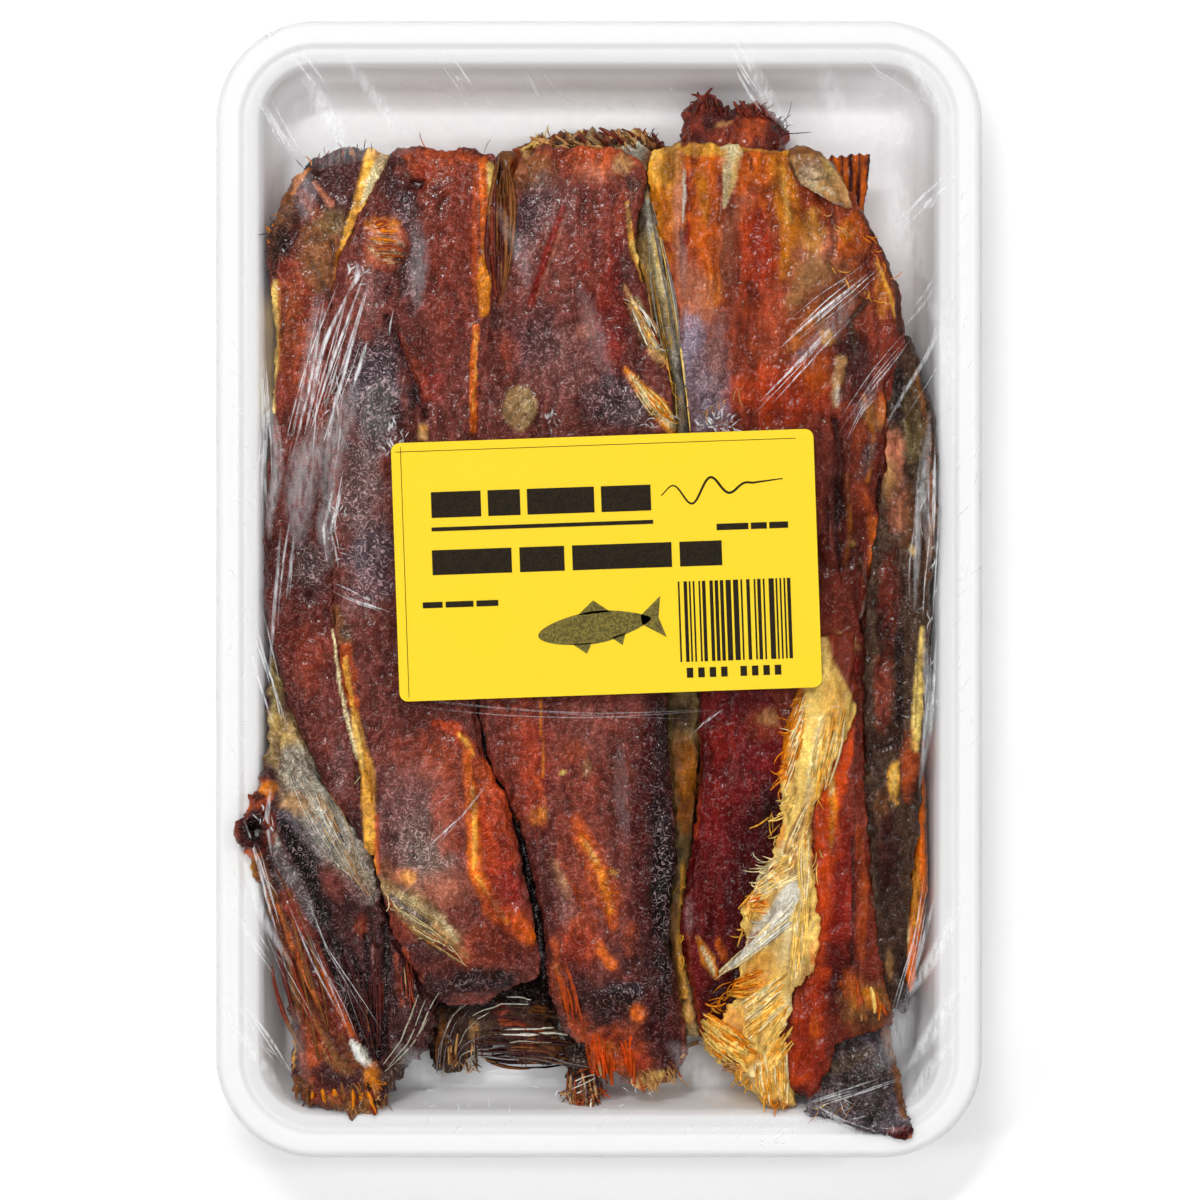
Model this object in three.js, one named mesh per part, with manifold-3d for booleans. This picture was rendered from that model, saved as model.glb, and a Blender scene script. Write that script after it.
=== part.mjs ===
// A sealed retail pack of smoked trout, lying flat with its film side up.
// Millimetres, +Z up. +Y is the pack's long way, and the origin is the middle of its underside.
import * as THREE from "three";
import { ParametricGeometry } from "three/addons/geometries/ParametricGeometry.js";
import { mergeGeometries, mergeVertices } from "three/addons/utils/BufferGeometryUtils.js";
import Module from "manifold-3d";

const wasm = await Module();
wasm.setup();

// ---- driving dimensions ----
const TRAY_WIDTH = 154;
const TRAY_LENGTH = 229;
const TRAY_HEIGHT = 24;
const TRAY_CORNER = 20; // outer corner radius
const FLOOR_TOP = 4.2; // the tray's inner floor
const CORNER_STEPS = 6; // facets in a quarter turn of the tray
const GAP = 0.35; // kept between touching pieces

const FILM_THICKNESS = 0.4;
const FILM_COLUMNS = 20;
const FILM_ROWS = 30;
const FILM_SKIRT_ROWS = 2; // the rim's underside, then the hem
const FILM_HEM_INSET = 8.3; // how far in from the rim the hem lies
const FILM_HEM_HEIGHT = 1.6;
const FILM_LIP_HEIGHT = 20.8; // where the film leaves the rim on its way down
const TAUT_ROUNDS = 300; // enough to pull the film taut
const SAMPLE_STEP = 1.5; // between the points of fish that hold the film up

const LABEL = { width: 85, length: 52, corner: 1.7, x: 1.5, y: 4.8, turn: 2, thickness: 0.25 };
const STICKER = { width: 98, length: 61.5, corner: 0.8, x: 5.5, y: 5.6, turn: -0.8, thickness: 0.2 };

const FISH_FLOOR = 4.6; // the fish's own underside, just clear of the tray
const SECTION_POWER = 2.6; // 2 is an ellipse, more is boxier
const END_ROUND = 7; // length over which an end rounds off
const END_CROWDING = 0.6; // how far the sections crowd towards the ends, from 0 to 1
const RAGGED_SPAN = 40; // a slab's usual width, which sets how many rags an end has
const RAGGED_SIZE = 4;

// The tray's section, from the middle of its underside round the rim to the middle of its floor:
// [distance in from the outer edge, height]. The first and last points lie on the tray's middle.
const TRAY_SECTION = [
  [TRAY_WIDTH / 2, 0.8],
  [21, 0.8],
  [19, 0],
  [11, 0],
  [9, 1.5],
  [4.5, 19.5],
  [1.2, 20.4],
  [0, 21.2],
  [0, 23.2],
  [0.8, TRAY_HEIGHT],
  [4.4, TRAY_HEIGHT],
  [5.4, 22.9],
  [6.6, 23.3],
  [8.2, 23.1],
  [9.2, 21.4],
  [12.8, 6.2],
  [15.8, FLOOR_TOP],
  [TRAY_WIDTH / 2, FLOOR_TOP],
];

// ---- small tools ----
const lerp = (a, b, t) => a + (b - a) * t;
const clamp = (v, low, high) => Math.min(high, Math.max(low, v));
const smooth = (t) => t * t * (3 - 2 * t);

// A repeatable number from 0 to 1 for each whole-number place.
function lattice(i, j, seed) {
  const wave = Math.sin(i * 127.1 + j * 311.7 + seed * 74.7) * 43758.5453;
  return wave - Math.floor(wave);
}

// Rolling lumps from -1 to 1, about one for each size millimetres.
function lumps(x, y, size, seed) {
  const i = Math.floor(x / size);
  const j = Math.floor(y / size);
  const s = smooth(x / size - i);
  const t = smooth(y / size - j);
  const near = lerp(lattice(i, j, seed), lattice(i + 1, j, seed), s);
  const far = lerp(lattice(i, j + 1, seed), lattice(i + 1, j + 1, seed), s);
  return 2 * lerp(near, far, t) - 1;
}

// A smooth curve through [y, value] points, listed from the head end down. It is level past its ends.
function alongLength(points) {
  if (typeof points === "number") return () => points;
  const slope = (k) => {
    const before = points[Math.max(0, k - 1)];
    const after = points[Math.min(points.length - 1, k + 1)];
    return (after[1] - before[1]) / (after[0] - before[0]);
  };
  return (y) => {
    if (y >= points[0][0]) return points[0][1];
    if (y <= points[points.length - 1][0]) return points[points.length - 1][1];
    const k = points.findIndex((p) => p[0] < y) - 1;
    const span = points[k + 1][0] - points[k][0];
    const t = (y - points[k][0]) / span;
    const bend = t * (1 - t) * span;
    const straight = lerp(points[k][1], points[k + 1][1], smooth(t));
    return straight + bend * ((1 - t) * slope(k) - t * slope(k + 1));
  };
}

// Straight steps through evenly spaced values, as s goes from 0 to 1.
function acrossWidth(values, s) {
  if (typeof values === "number") return values;
  const at = clamp(s, 0, 1) * (values.length - 1);
  const k = Math.min(Math.floor(at), values.length - 2);
  return lerp(values[k], values[k + 1], at - k);
}

// ---- solids ----
// The geometry as a closed solid facing out, without the slivers that collapsed points leave.
function solidOf(geometry) {
  const bare = geometry.clone();
  bare.deleteAttribute("normal");
  bare.deleteAttribute("uv");
  const merged = mergeVertices(bare, 1e-3);
  const corners = merged.index.array;
  const kept = [];
  for (let i = 0; i < corners.length; i += 3) {
    const [a, b, c] = [corners[i], corners[i + 1], corners[i + 2]];
    if (a !== b && b !== c && c !== a) kept.push(a, b, c);
  }
  const build = (triangles) =>
    new wasm.Manifold(
      new wasm.Mesh({
        numProp: 3,
        vertProperties: merged.attributes.position.array,
        triVerts: new Uint32Array(triangles),
      }),
    );
  const made = build(kept);
  return made.volume() > 0 ? made : build(kept.reverse());
}

// The largest body of a solid, so that scraps which a cut leaves are dropped.
function largestBody(solid) {
  return solid.decompose().sort((a, b) => b.volume() - a.volume())[0];
}

function meshOf(name, solid, material) {
  const made = solid.getMesh();
  const positions = new Float32Array(made.numVert * 3);
  for (let i = 0; i < made.numVert; i++) {
    positions.set(made.vertProperties.subarray(i * made.numProp, i * made.numProp + 3), i * 3);
  }
  const geometry = new THREE.BufferGeometry();
  geometry.setAttribute("position", new THREE.BufferAttribute(positions, 3));
  geometry.setIndex(new THREE.BufferAttribute(made.triVerts, 1));
  geometry.computeVertexNormals();
  const mesh = new THREE.Mesh(geometry, material);
  mesh.name = name;
  return mesh;
}

const finish = (color, roughness, extra = {}) =>
  new THREE.MeshStandardMaterial({ color, roughness, metalness: 0, ...extra });

// ---- tray ----
// A point of the tray's outline moved in by inset, at step number around (0 to 4 corners' worth).
function outlinePoint(step, inset) {
  const corner = Math.floor(step / (CORNER_STEPS + 1)) % 4;
  const turn = ((step % (CORNER_STEPS + 1)) / CORNER_STEPS + corner) * (Math.PI / 2);
  const sideX = corner === 0 || corner === 3 ? 1 : -1;
  const sideY = corner < 2 ? 1 : -1;
  const radius = Math.max(TRAY_CORNER - inset, 1);
  const x = sideX * (TRAY_WIDTH / 2 - inset - radius) + radius * Math.cos(turn);
  const y = sideY * (TRAY_LENGTH / 2 - inset - radius) + radius * Math.sin(turn);
  return [x, y];
}

// The tray's skin, thickened into its own hollow and floor by grow.
function traySolid(grow = 0) {
  const around = 4 * (CORNER_STEPS + 1);
  const steps = TRAY_SECTION.length - 1;
  const rim = TRAY_SECTION.findIndex((p) => p[1] === TRAY_HEIGHT);
  const geometry = new ParametricGeometry(
    (u, v, target) => {
      const k = Math.round(v * steps);
      const [inset, height] = TRAY_SECTION[k];
      const inside = k > rim ? grow : 0;
      const z = k >= rim ? height + grow : height;
      if (k === 0 || k === steps) {
        target.set(0, 0, z);
        return;
      }
      const [x, y] = outlinePoint(Math.round(u * around) % around, inset + inside);
      target.set(x, y, z);
    },
    around,
    steps,
  );
  return solidOf(geometry);
}

// ---- fish ----
// How much a groove, or a ridge where depth is negative, lowers the surface at a place.
function grooveDepth(groove, x, y) {
  const [x0, y0] = groove.from;
  const [x1, y1] = groove.to;
  const length = Math.hypot(x1 - x0, y1 - y0);
  const along = ((x - x0) * (x1 - x0) + (y - y0) * (y1 - y0)) / (length * length);
  const t = clamp(along, 0, 1);
  const off = Math.hypot(x - lerp(x0, x1, t), y - lerp(y0, y1, t));
  return groove.depth * Math.exp(-((off / groove.width) ** 2));
}

// A slab of fish: its left and right edges run along the pack, and its head and tail edges cross it.
// Its section is a boxy oval whose widest level is high, as the slabs press against each other.
function slabSolid(piece, grow = 0) {
  const left = alongLength(piece.left);
  const right = alongLength(piece.right);
  const top = alongLength(piece.top);
  const floor = alongLength(piece.floor ?? FISH_FLOOR);
  const { widest = 0.84, lumpiness = 0.5, lumpSize = 9, ragged = 0.8, slope = 0, seed = 1 } = piece;
  const bluntness = piece.endRound ?? END_ROUND;
  const [around, stations] = [piece.around ?? 12, piece.stations ?? 20];
  const geometry = new ParametricGeometry(
    (u, v, target) => {
      const turn = 2 * Math.PI * u;
      const side = Math.cos(turn);
      const rise = Math.sin(turn);
      const s = 0.5 - 0.5 * Math.sign(side) * Math.abs(side) ** (2 / SECTION_POWER);
      const lift = Math.sign(rise) * Math.abs(rise) ** (2 / SECTION_POWER);
      const t = lerp(v, 0.5 - 0.5 * Math.cos(Math.PI * v), END_CROWDING);
      const rags = (end) => ragged * lumps(s * RAGGED_SPAN, end * RAGGED_SPAN, RAGGED_SIZE, seed);
      const tail = acrossWidth(piece.tail, s) + rags(0) - grow;
      const head = acrossWidth(piece.head, s) + rags(1) + grow;
      const y = lerp(tail, head, t);
      const x = lerp(left(y) - grow, right(y) + grow, s);
      const toEnd = clamp(Math.min(y - tail, head - y) / bluntness, 0, 1);
      const fullness = Math.sqrt(1 - (1 - toEnd) ** 2);
      const cuts = (piece.grooves ?? []).reduce((sum, g) => sum + grooveDepth(g, x, y), 0);
      const relief = lumpiness * lumps(x, y, lumpSize, seed) - cuts;
      const low = floor(y);
      const crown = top(y) + slope * (s - 0.5);
      const middle = lerp(low, crown, widest);
      const reach = lift > 0 ? crown + grow - middle : middle - low + grow;
      target.set(x, y, middle + fullness * lift * (reach + (lift > 0 ? relief : 0)));
    },
    around,
    stations,
  );
  return solidOf(geometry);
}

// A round rod from one place to another, which tapers where its two radii differ.
function rod(from, to, startRadius, endRadius, sides = 12) {
  const start = new THREE.Vector3(...from);
  const way = new THREE.Vector3(...to).sub(start);
  const geometry = new THREE.CylinderGeometry(endRadius, startRadius, way.length(), sides);
  const upright = new THREE.Vector3(0, 1, 0);
  const turn = new THREE.Quaternion().setFromUnitVectors(upright, way.clone().normalize());
  geometry.applyQuaternion(turn);
  geometry.translate(start.x + way.x / 2, start.y + way.y / 2, start.z + way.z / 2);
  return solidOf(geometry);
}

// The seams that neighbouring slabs share, as [y, x] points.
const SEAM_LEFT_SECOND = [
  [88, -42],
  [77.5, -47.3],
  [69.5, -51.3],
  [52, -54.3],
  [27, -55.5],
  [10, -53],
  [-2, -53.5],
  [-20, -51],
  [-36, -46.5],
  [-55, -45],
  [-69, -41.5],
  [-78, -36.5],
  [-84, -33.5],
];
const SEAM_LEFT_FOLDED = [
  [-14, -65.5],
  [-28, -60.5],
  [-40, -54.8],
  [-53.5, -45.8],
];
const SECOND_RIGHT_EDGE = [
  [88, -21.5],
  [69.5, -20.7],
  [58, -21.7],
  [38, -24.7],
  [6, -25.5],
  [-20, -25],
  [-32, -24],
  [-47.5, -17.7],
  [-63, -14.6],
  [-76, -12.2],
  [-84, -13],
];
const THIRD_LEFT_EDGE = [
  [88, -16],
  [75, -18.7],
  [66, -20.3],
  [58, -21],
  [38, -24],
  [6, -24.8],
  [-20, -24.2],
  [-32, -22.6],
  [-47.5, -15.4],
  [-63, -11.6],
  [-76, -10.2],
  [-84, -9],
  [-91, -5],
  [-98, 0],
];
const THIRD_RIGHT_EDGE = [
  [87, 7.5],
  [82, 9.3],
  [70, 6.7],
  [52, 11.5],
  [38, 14.5],
  [6, 16],
  [-25, 13],
  [-50, 15],
  [-70, 13.4],
  [-84, 16],
  [-95, 18],
];
const ORANGE_LEFT_EDGE = [
  [88, 10],
  [80, 10.6],
  [70, 13.5],
  [52, 16.8],
  [32, 18.8],
  [6, 21],
  [-10, 29],
  [-25, 37],
  [-42, 40],
  [-63, 38.5],
  [-79, 35.5],
  [-93, 34.5],
  [-104, 40.5],
];
const ORANGE_RIGHT_EDGE = [
  [88, 39],
  [84, 47],
  [75, 53],
  [69, 56.7],
  [59, 60.8],
  [51, 61],
  [42, 59],
  [22, 57.6],
  [6, 55],
  [-12, 53.7],
  [-45, 54.4],
  [-78, 57],
  [-88, 60],
];
const CRIMSON_LEFT_EDGE = [
  [4, 21],
  [-27, 21],
  [-48, 20],
  [-62, 17.7],
  [-70, 17],
  [-78, 18.5],
  [-91, 21],
];
const EDGE_SLAB_RIGHT_EDGE = [
  [51.5, 61.6],
  [45.5, 64],
  [34, 67],
  [16, 67.6],
  [-12, 65.6],
  [-42, 64.3],
  [-57, 62.8],
  [-78, 61.3],
  [-86, 62],
];

const shifted = (points, by) => points.map(([y, x]) => [y, x + by]);
const upTo = (points, y) => points.filter((p) => p[0] <= y);

const FOLDED_TAIL_EDGE = [
  [-91, -33.6],
  [-96, -38.5],
  [-105, -43],
];

// The lower pieces, which only show past the ends and between the slabs, come before the slabs that
// lie on them. Each piece is cut clear of those before it.
const PIECES = [
  {
    name: "back_piece",
    color: 0x7a4a2a,
    left: -20,
    right: [[94, 15], [72, 16]],
    head: [89.5, 91.5, 93.5, 92.6, 93.6, 94.4, 93.8, 90.6],
    tail: 73,
    top: [[94, 14], [84, 17], [72, 17]],
    widest: 0.5,
    ragged: 0.5,
    seed: 21,
    stations: 8,
  },
  {
    name: "back_chunk",
    color: 0x4a1a16,
    left: [[100, 18.2], [94, 16.6], [78, 17.5]],
    right: [[98, 35], [94, 37], [78, 37]],
    head: [96.5, 101.5, 99.4, 98.2, 97, 98.6, 99.8, 96],
    tail: 75,
    top: [[102, 15], [90, 19.5], [75, 18]],
    widest: 0.55,
    lumpiness: 1.2,
    lumpSize: 5,
    ragged: 0.5,
    seed: 22,
    stations: 10,
  },
  {
    name: "striped_fin",
    color: 0x6a3418,
    left: [[88, 45.5], [70, 48]],
    right: [[88, 55.2], [82, 54.2], [76, 53.8], [70, 53.5]],
    head: [87.5, 88, 88.6],
    tail: 70,
    top: [[88, 21.5], [70, 19]],
    floor: 12,
    ragged: 0.2,
    seed: 23,
    around: 10,
    stations: 8,
  },
  {
    name: "seam_sliver",
    color: 0x8a4a1c,
    left: -20.6,
    right: [[88, -16.5], [76, -18.5], [70, -19.5]],
    head: [88.4, 88.8, 88],
    tail: 70.5,
    top: [[88, 22], [70, 20.5]],
    lumpiness: 0.3,
    seed: 24,
    around: 8,
    stations: 8,
  },
  {
    name: "tail_skin",
    color: 0x3c3a37,
    left: [[-80, 48], [-88, 46.8], [-99, 43.8], [-106, 41.2], [-110, 44], [-112, 56]],
    right: [[-80, 58], [-90, 59.6], [-102, 62], [-110.5, 64.2]],
    head: -80,
    tail: [-106.5, -107.5, -109, -110.6, -112, -111],
    top: [[-80, 17], [-90, 18.5], [-99, 21.5], [-106, 25], [-112, 26.2]],
    floor: [[-80, 11], [-90, 13.5], [-99, 18], [-106, 23.6], [-112, 24.5]],
    widest: 0.5,
    lumpiness: 0.3,
    ragged: 0.2,
    endRound: 3,
    seed: 25,
    stations: 12,
  },
  {
    name: "lower_fin",
    color: 0x3a2118,
    left: [[-80, -35], [-99, -34]],
    right: [[-80, -9], [-97, -7.6]],
    head: -78,
    tail: [-98, -99, -96, -91.5, -93, -96, -97, -96],
    top: [[-78, 17], [-99, 14.5]],
    widest: 0.6,
    ragged: 0.9,
    seed: 26,
    stations: 9,
  },
  {
    name: "tail_bit",
    color: 0x3a1c14,
    left: [[-88, -7.2], [-98, -6.8], [-106, -5.4]],
    right: [[-88, 1.5], [-98, 0.3], [-106, -0.2]],
    head: -87,
    tail: [-104, -106, -105, -106.3],
    top: [[-87, 15], [-98, 17.5], [-106, 22]],
    floor: [[-87, FISH_FLOOR], [-98, 7], [-106, 16]],
    widest: 0.6,
    ragged: 0.3,
    endRound: 3,
    seed: 27,
    around: 8,
    stations: 9,
  },
  {
    name: "amber_sliver",
    color: 0xb87428,
    left: [[-28, 64.2], [-42, 64.5], [-57, 63.1], [-73, 61.8], [-82, 62]],
    right: [[-28, 65.2], [-42, 66.1], [-54, 66.6], [-64, 66.2], [-73, 64.8], [-82, 63.2]],
    head: -28,
    tail: -82,
    top: 23.6,
    floor: 10,
    lumpiness: 0.2,
    ragged: 0,
    endRound: 4,
    seed: 28,
    around: 8,
    stations: 12,
  },
  {
    name: "skin_strip",
    color: 0x8c825c,
    left: shifted(THIRD_RIGHT_EDGE, GAP),
    right: shifted([...ORANGE_LEFT_EDGE.slice(0, 6), ...CRIMSON_LEFT_EDGE.slice(1)], -GAP),
    head: [86, 87],
    tail: -91,
    top: [[87, 22], [60, 20], [32, 20.5], [0, 19], [-60, 18.5], [-91, 20]],
    lumpiness: 0.3,
    ragged: 0.2,
    endRound: 5,
    seed: 29,
    around: 8,
    stations: 22,
  },
  {
    name: "dark_strip",
    color: 0x1c1413,
    left: shifted(upTo(SECOND_RIGHT_EDGE, -32), GAP),
    right: shifted(upTo(THIRD_LEFT_EDGE, -32), -GAP),
    head: -34,
    tail: -79,
    top: [[-34, 21.5], [-64, 22.5], [-72, 25.5], [-79, 24]],
    lumpiness: 0.3,
    ragged: 0.2,
    endRound: 4,
    seed: 30,
    around: 8,
    stations: 14,
  },
  {
    name: "folded_slab",
    color: 0x5c2416,
    left: [
      [-12, -66.8],
      [-26, -67.3],
      [-36, -68],
      [-43, -71],
      [-53, -71.4],
      [-61, -68.5],
      [-70, -65],
      [-80, -63],
      [-87, -62],
      [-106, -62],
    ],
    right: shifted([...SEAM_LEFT_FOLDED, ...upTo(SEAM_LEFT_SECOND, -69), ...FOLDED_TAIL_EDGE], -GAP),
    head: [-12, -13.5],
    tail: [-101, -104, -105, -104, -107, -108, -106.5, -101],
    top: [[-12, 23], [-30, 24.5], [-48, 26.5], [-64, 25.8], [-85, 25], [-99, 24.6], [-108, 26]],
    lumpiness: 0.7,
    grooves: [
      { from: [-63, -57], to: [-45, -99], width: 1.8, depth: 1.6 },
      { from: [-55, -58], to: [-44.5, -97], width: 1.6, depth: 1.8 },
      { from: [-46, -62], to: [-43.5, -96], width: 1.5, depth: 1.6 },
      { from: [-38, -78], to: [-43, -96], width: 1.5, depth: 1.3 },
    ],
    seed: 11,
    stations: 24,
    around: 14,
  },
  {
    name: "left_slab",
    color: 0x6a2a1a,
    left: [
      [89, -55],
      [85.5, -59.5],
      [79, -62.6],
      [71, -66.6],
      [66, -67],
      [57, -65.2],
      [38, -65],
      [18, -66.4],
      [-2, -66.5],
      ...shifted(SEAM_LEFT_FOLDED, GAP),
    ],
    right: shifted(SEAM_LEFT_SECOND.slice(0, 10), -GAP / 2),
    head: [83, 88.6, 89, 88.4, 87.6, 87.2],
    tail: [-52, -54],
    top: [[89, 23.5], [70, 25], [20, 25.4], [-20, 25.6], [-54, 26]],
    slope: 0.8,
    lumpiness: 0.6,
    ragged: 0.9,
    grooves: [{ from: [-42, 86], to: [-52, 68], width: 1.6, depth: 1.2 }],
    seed: 12,
  },
  {
    name: "second_slab",
    color: 0x6e2c1e,
    left: shifted(SEAM_LEFT_SECOND, GAP / 2),
    right: SECOND_RIGHT_EDGE,
    head: [87.6, 88.8, 88.8, 88.4, 87.8],
    tail: [-83.5, -84, -82, -78.5],
    top: [[88, 25], [60, 26.8], [0, 27], [-50, 27], [-70, 26], [-84, 23]],
    lumpiness: 0.6,
    grooves: [
      { from: [-36.8, 82], to: [-36.6, 81.4], width: 1.2, depth: 1.6 },
      { from: [-43, 52], to: [-38, 38], width: 1.8, depth: 1.3 },
      { from: [-27, -29], to: [-25, -57], width: 2.2, depth: -1 },
      { from: [-24, -58], to: [-16, -69], width: 2, depth: -0.9 },
    ],
    seed: 13,
    stations: 22,
  },
  {
    name: "third_slab",
    color: 0x6a2c22,
    left: THIRD_LEFT_EDGE,
    right: THIRD_RIGHT_EDGE,
    head: [87.4, 88.6, 88.4, 88.6, 86],
    tail: [-89, -95, -100, -101.6, -100.6, -102, -98.5, -95],
    top: [[88, 24.6], [60, 27], [0, 27.2], [-50, 27.2], [-80, 26.5], [-102, 21]],
    lumpiness: 0.6,
    ragged: 1.2,
    grooves: [
      { from: [5, 73], to: [-15, 56], width: 1.8, depth: 1.1 },
      { from: [-11.7, -24], to: [-10.3, -37], width: 1, depth: 0.9 },
    ],
    seed: 14,
    stations: 22,
  },
  {
    name: "orange_slab",
    color: 0x9c4416,
    left: ORANGE_LEFT_EDGE,
    right: ORANGE_RIGHT_EDGE,
    head: [88.2, 89.8, 89.6, 89.2, 88.2, 88.4, 88],
    tail: [-100, -104, -96, -89, -88, -88.6],
    top: [[89, 25], [60, 27], [10, 26.6], [-10, 25.2], [-80, 25.2], [-104, 23]],
    lumpiness: 0.6,
    grooves: [
      { from: [20.4, 88], to: [20.4, 64], width: 1.6, depth: -0.8 },
      { from: [26, 87], to: [25.4, 74], width: 1.6, depth: 1.6 },
      { from: [54.5, -12], to: [54.5, -50], width: 1.4, depth: 1.2 },
    ],
    seed: 15,
    stations: 22,
  },
  {
    name: "crimson_slab",
    color: 0x4c0e10,
    left: CRIMSON_LEFT_EDGE,
    right: shifted(ORANGE_LEFT_EDGE.slice(5), -GAP),
    head: [3, 2],
    tail: [-90, -92, -92, -91],
    top: [[3, 25], [-40, 24.4], [-70, 23], [-92, 20]],
    lumpiness: 0.6,
    seed: 16,
    stations: 20,
    around: 12,
  },
  {
    name: "edge_slab",
    color: 0x3e2a20,
    left: shifted(ORANGE_RIGHT_EDGE.slice(5), GAP),
    right: EDGE_SLAB_RIGHT_EDGE,
    head: [50.5, 51.5],
    tail: [-84, -86],
    top: [[51, 25], [20, 26.4], [-20, 26.4], [-60, 25.6], [-86, 23.5]],
    widest: 0.9,
    lumpiness: 0.6,
    slope: -0.8,
    ragged: 0.3,
    grooves: [{ from: [59, 20], to: [58, -30], width: 1.6, depth: 1.3 }],
    seed: 17,
    around: 12,
  },
  {
    name: "torn_flesh",
    color: 0xe2c27a,
    left: [
      [-8, 45],
      [-24, 39],
      [-34, 36.6],
      [-50, 36.5],
      [-57, 33.5],
      [-64, 29],
      [-70, 29.4],
      [-80, 27.6],
      [-86, 27.4],
      [-88.5, 21.5],
      [-92.5, 21],
      [-98, 28],
      [-106, 35],
    ],
    right: [
      [-8, 51.6],
      [-24, 52],
      [-32, 50],
      [-38, 45.2],
      [-44, 43.4],
      [-54, 43],
      [-71, 44.5],
      [-79, 43],
      [-84, 40],
      [-93, 37],
      [-98, 38.4],
      [-106, 40],
    ],
    head: [-9, -8],
    tail: [-100, -104, -106.5, -106.8, -104],
    top: [[-8, 27.2], [-60, 27.2], [-86, 26], [-106, 24.2]],
    floor: [[-8, 20], [-76, 20], [-88, 12], [-98, 8]],
    widest: 0.8,
    lumpiness: 0.8,
    lumpSize: 4,
    ragged: 0.6,
    endRound: 4,
    seed: 18,
    stations: 24,
    around: 10,
  },
  {
    name: "skin_flap",
    color: 0x8c7c5c,
    left: [[90, 38], [83, 38.8], [79, 43], [76, 48]],
    right: [[90, 44], [84.5, 48.4], [77, 51.2]],
    head: [89, 90, 90, 86],
    tail: [82, 78.4, 76.6, 76.4],
    top: [[90, 27], [76, 28]],
    floor: [[90, 20], [76, 24]],
    widest: 0.6,
    lumpiness: 0.3,
    ragged: 0.3,
    endRound: 2.5,
    seed: 19,
    around: 10,
    stations: 9,
  },
];

// The folded slab's rolled corner, a short tube whose open end looks up and to the left.
const TUBE = {
  mouth: [-70, -47.6, 28.4],
  root: [-66.4, -53.4, 19.5],
  radius: 3.5,
  bore: 2.5,
  boreDepth: 0.75, // as a share of the way from mouth to root
};

function rolledCorner(grow = 0) {
  return rod(TUBE.mouth, TUBE.root, TUBE.radius + grow, TUBE.radius * 0.8 + grow);
}

function boredCorner(solid) {
  const inner = TUBE.mouth.map((v, k) => lerp(v, TUBE.root[k], TUBE.boreDepth));
  const outer = TUBE.mouth.map((v, k) => lerp(v, TUBE.root[k], -0.1));
  return solid.subtract(rod(outer, inner, TUBE.bore, TUBE.bore * 0.5));
}

function pieceSolid(piece, grow = 0) {
  const slab = slabSolid(piece, grow);
  return piece.name === "folded_slab" ? slab.add(rolledCorner(grow)) : slab;
}

// Every piece of fish, each cut clear of the tray and of the pieces placed before it.
function placeFish() {
  const placed = [];
  const tray = traySolid(GAP);
  for (const piece of PIECES) {
    let solid = pieceSolid(piece).subtract(tray);
    for (const lower of placed) solid = solid.subtract(lower.grown);
    if (piece.name === "folded_slab") solid = boredCorner(solid);
    placed.push({ piece, solid: largestBody(solid), grown: pieceSolid(piece, GAP) });
  }
  return placed;
}

// ---- film ----
// A grid place on the film, where a and b run from -1 to 1 over the top and margin is how far past
// the tray's edge the film's edge lies. Corners of the grid are drawn in to the tray's round corners.
function filmPlan(a, b, margin) {
  const halfX = TRAY_WIDTH / 2 + margin;
  const halfY = TRAY_LENGTH / 2 + margin;
  const radius = TRAY_CORNER + margin;
  const x = Math.abs(a) * halfX;
  const y = Math.abs(b) * halfY;
  const cx = clamp((x - halfX + radius) / radius, 0, 1);
  const cy = clamp((y - halfY + radius) / radius, 0, 1);
  const px = cx > 0 && cy > 0 ? halfX - radius + radius * cx * Math.sqrt(1 - (cy * cy) / 2) : x;
  const py = cx > 0 && cy > 0 ? halfY - radius + radius * cy * Math.sqrt(1 - (cx * cx) / 2) : y;
  return [Math.sign(a) * px, Math.sign(b) * py];
}

// The fish's surface as points no more than SAMPLE_STEP apart.
function surfacePoints(solid) {
  const made = solid.getMesh();
  const vertex = (k) => {
    const at = made.triVerts[k] * made.numProp;
    return new THREE.Vector3().fromArray(made.vertProperties, at);
  };
  const points = [];
  for (let k = 0; k < made.triVerts.length; k += 3) {
    const [a, b, c] = [vertex(k), vertex(k + 1), vertex(k + 2)];
    const longest = Math.max(a.distanceTo(b), b.distanceTo(c), c.distanceTo(a));
    const steps = Math.ceil(longest / SAMPLE_STEP);
    for (let i = 0; i <= steps; i++) {
      for (let j = 0; j <= steps - i; j++) {
        const ab = a.clone().lerp(b, i / steps);
        points.push(ab.add(c.clone().sub(a).multiplyScalar(j / steps)));
      }
    }
  }
  return points;
}

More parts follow.
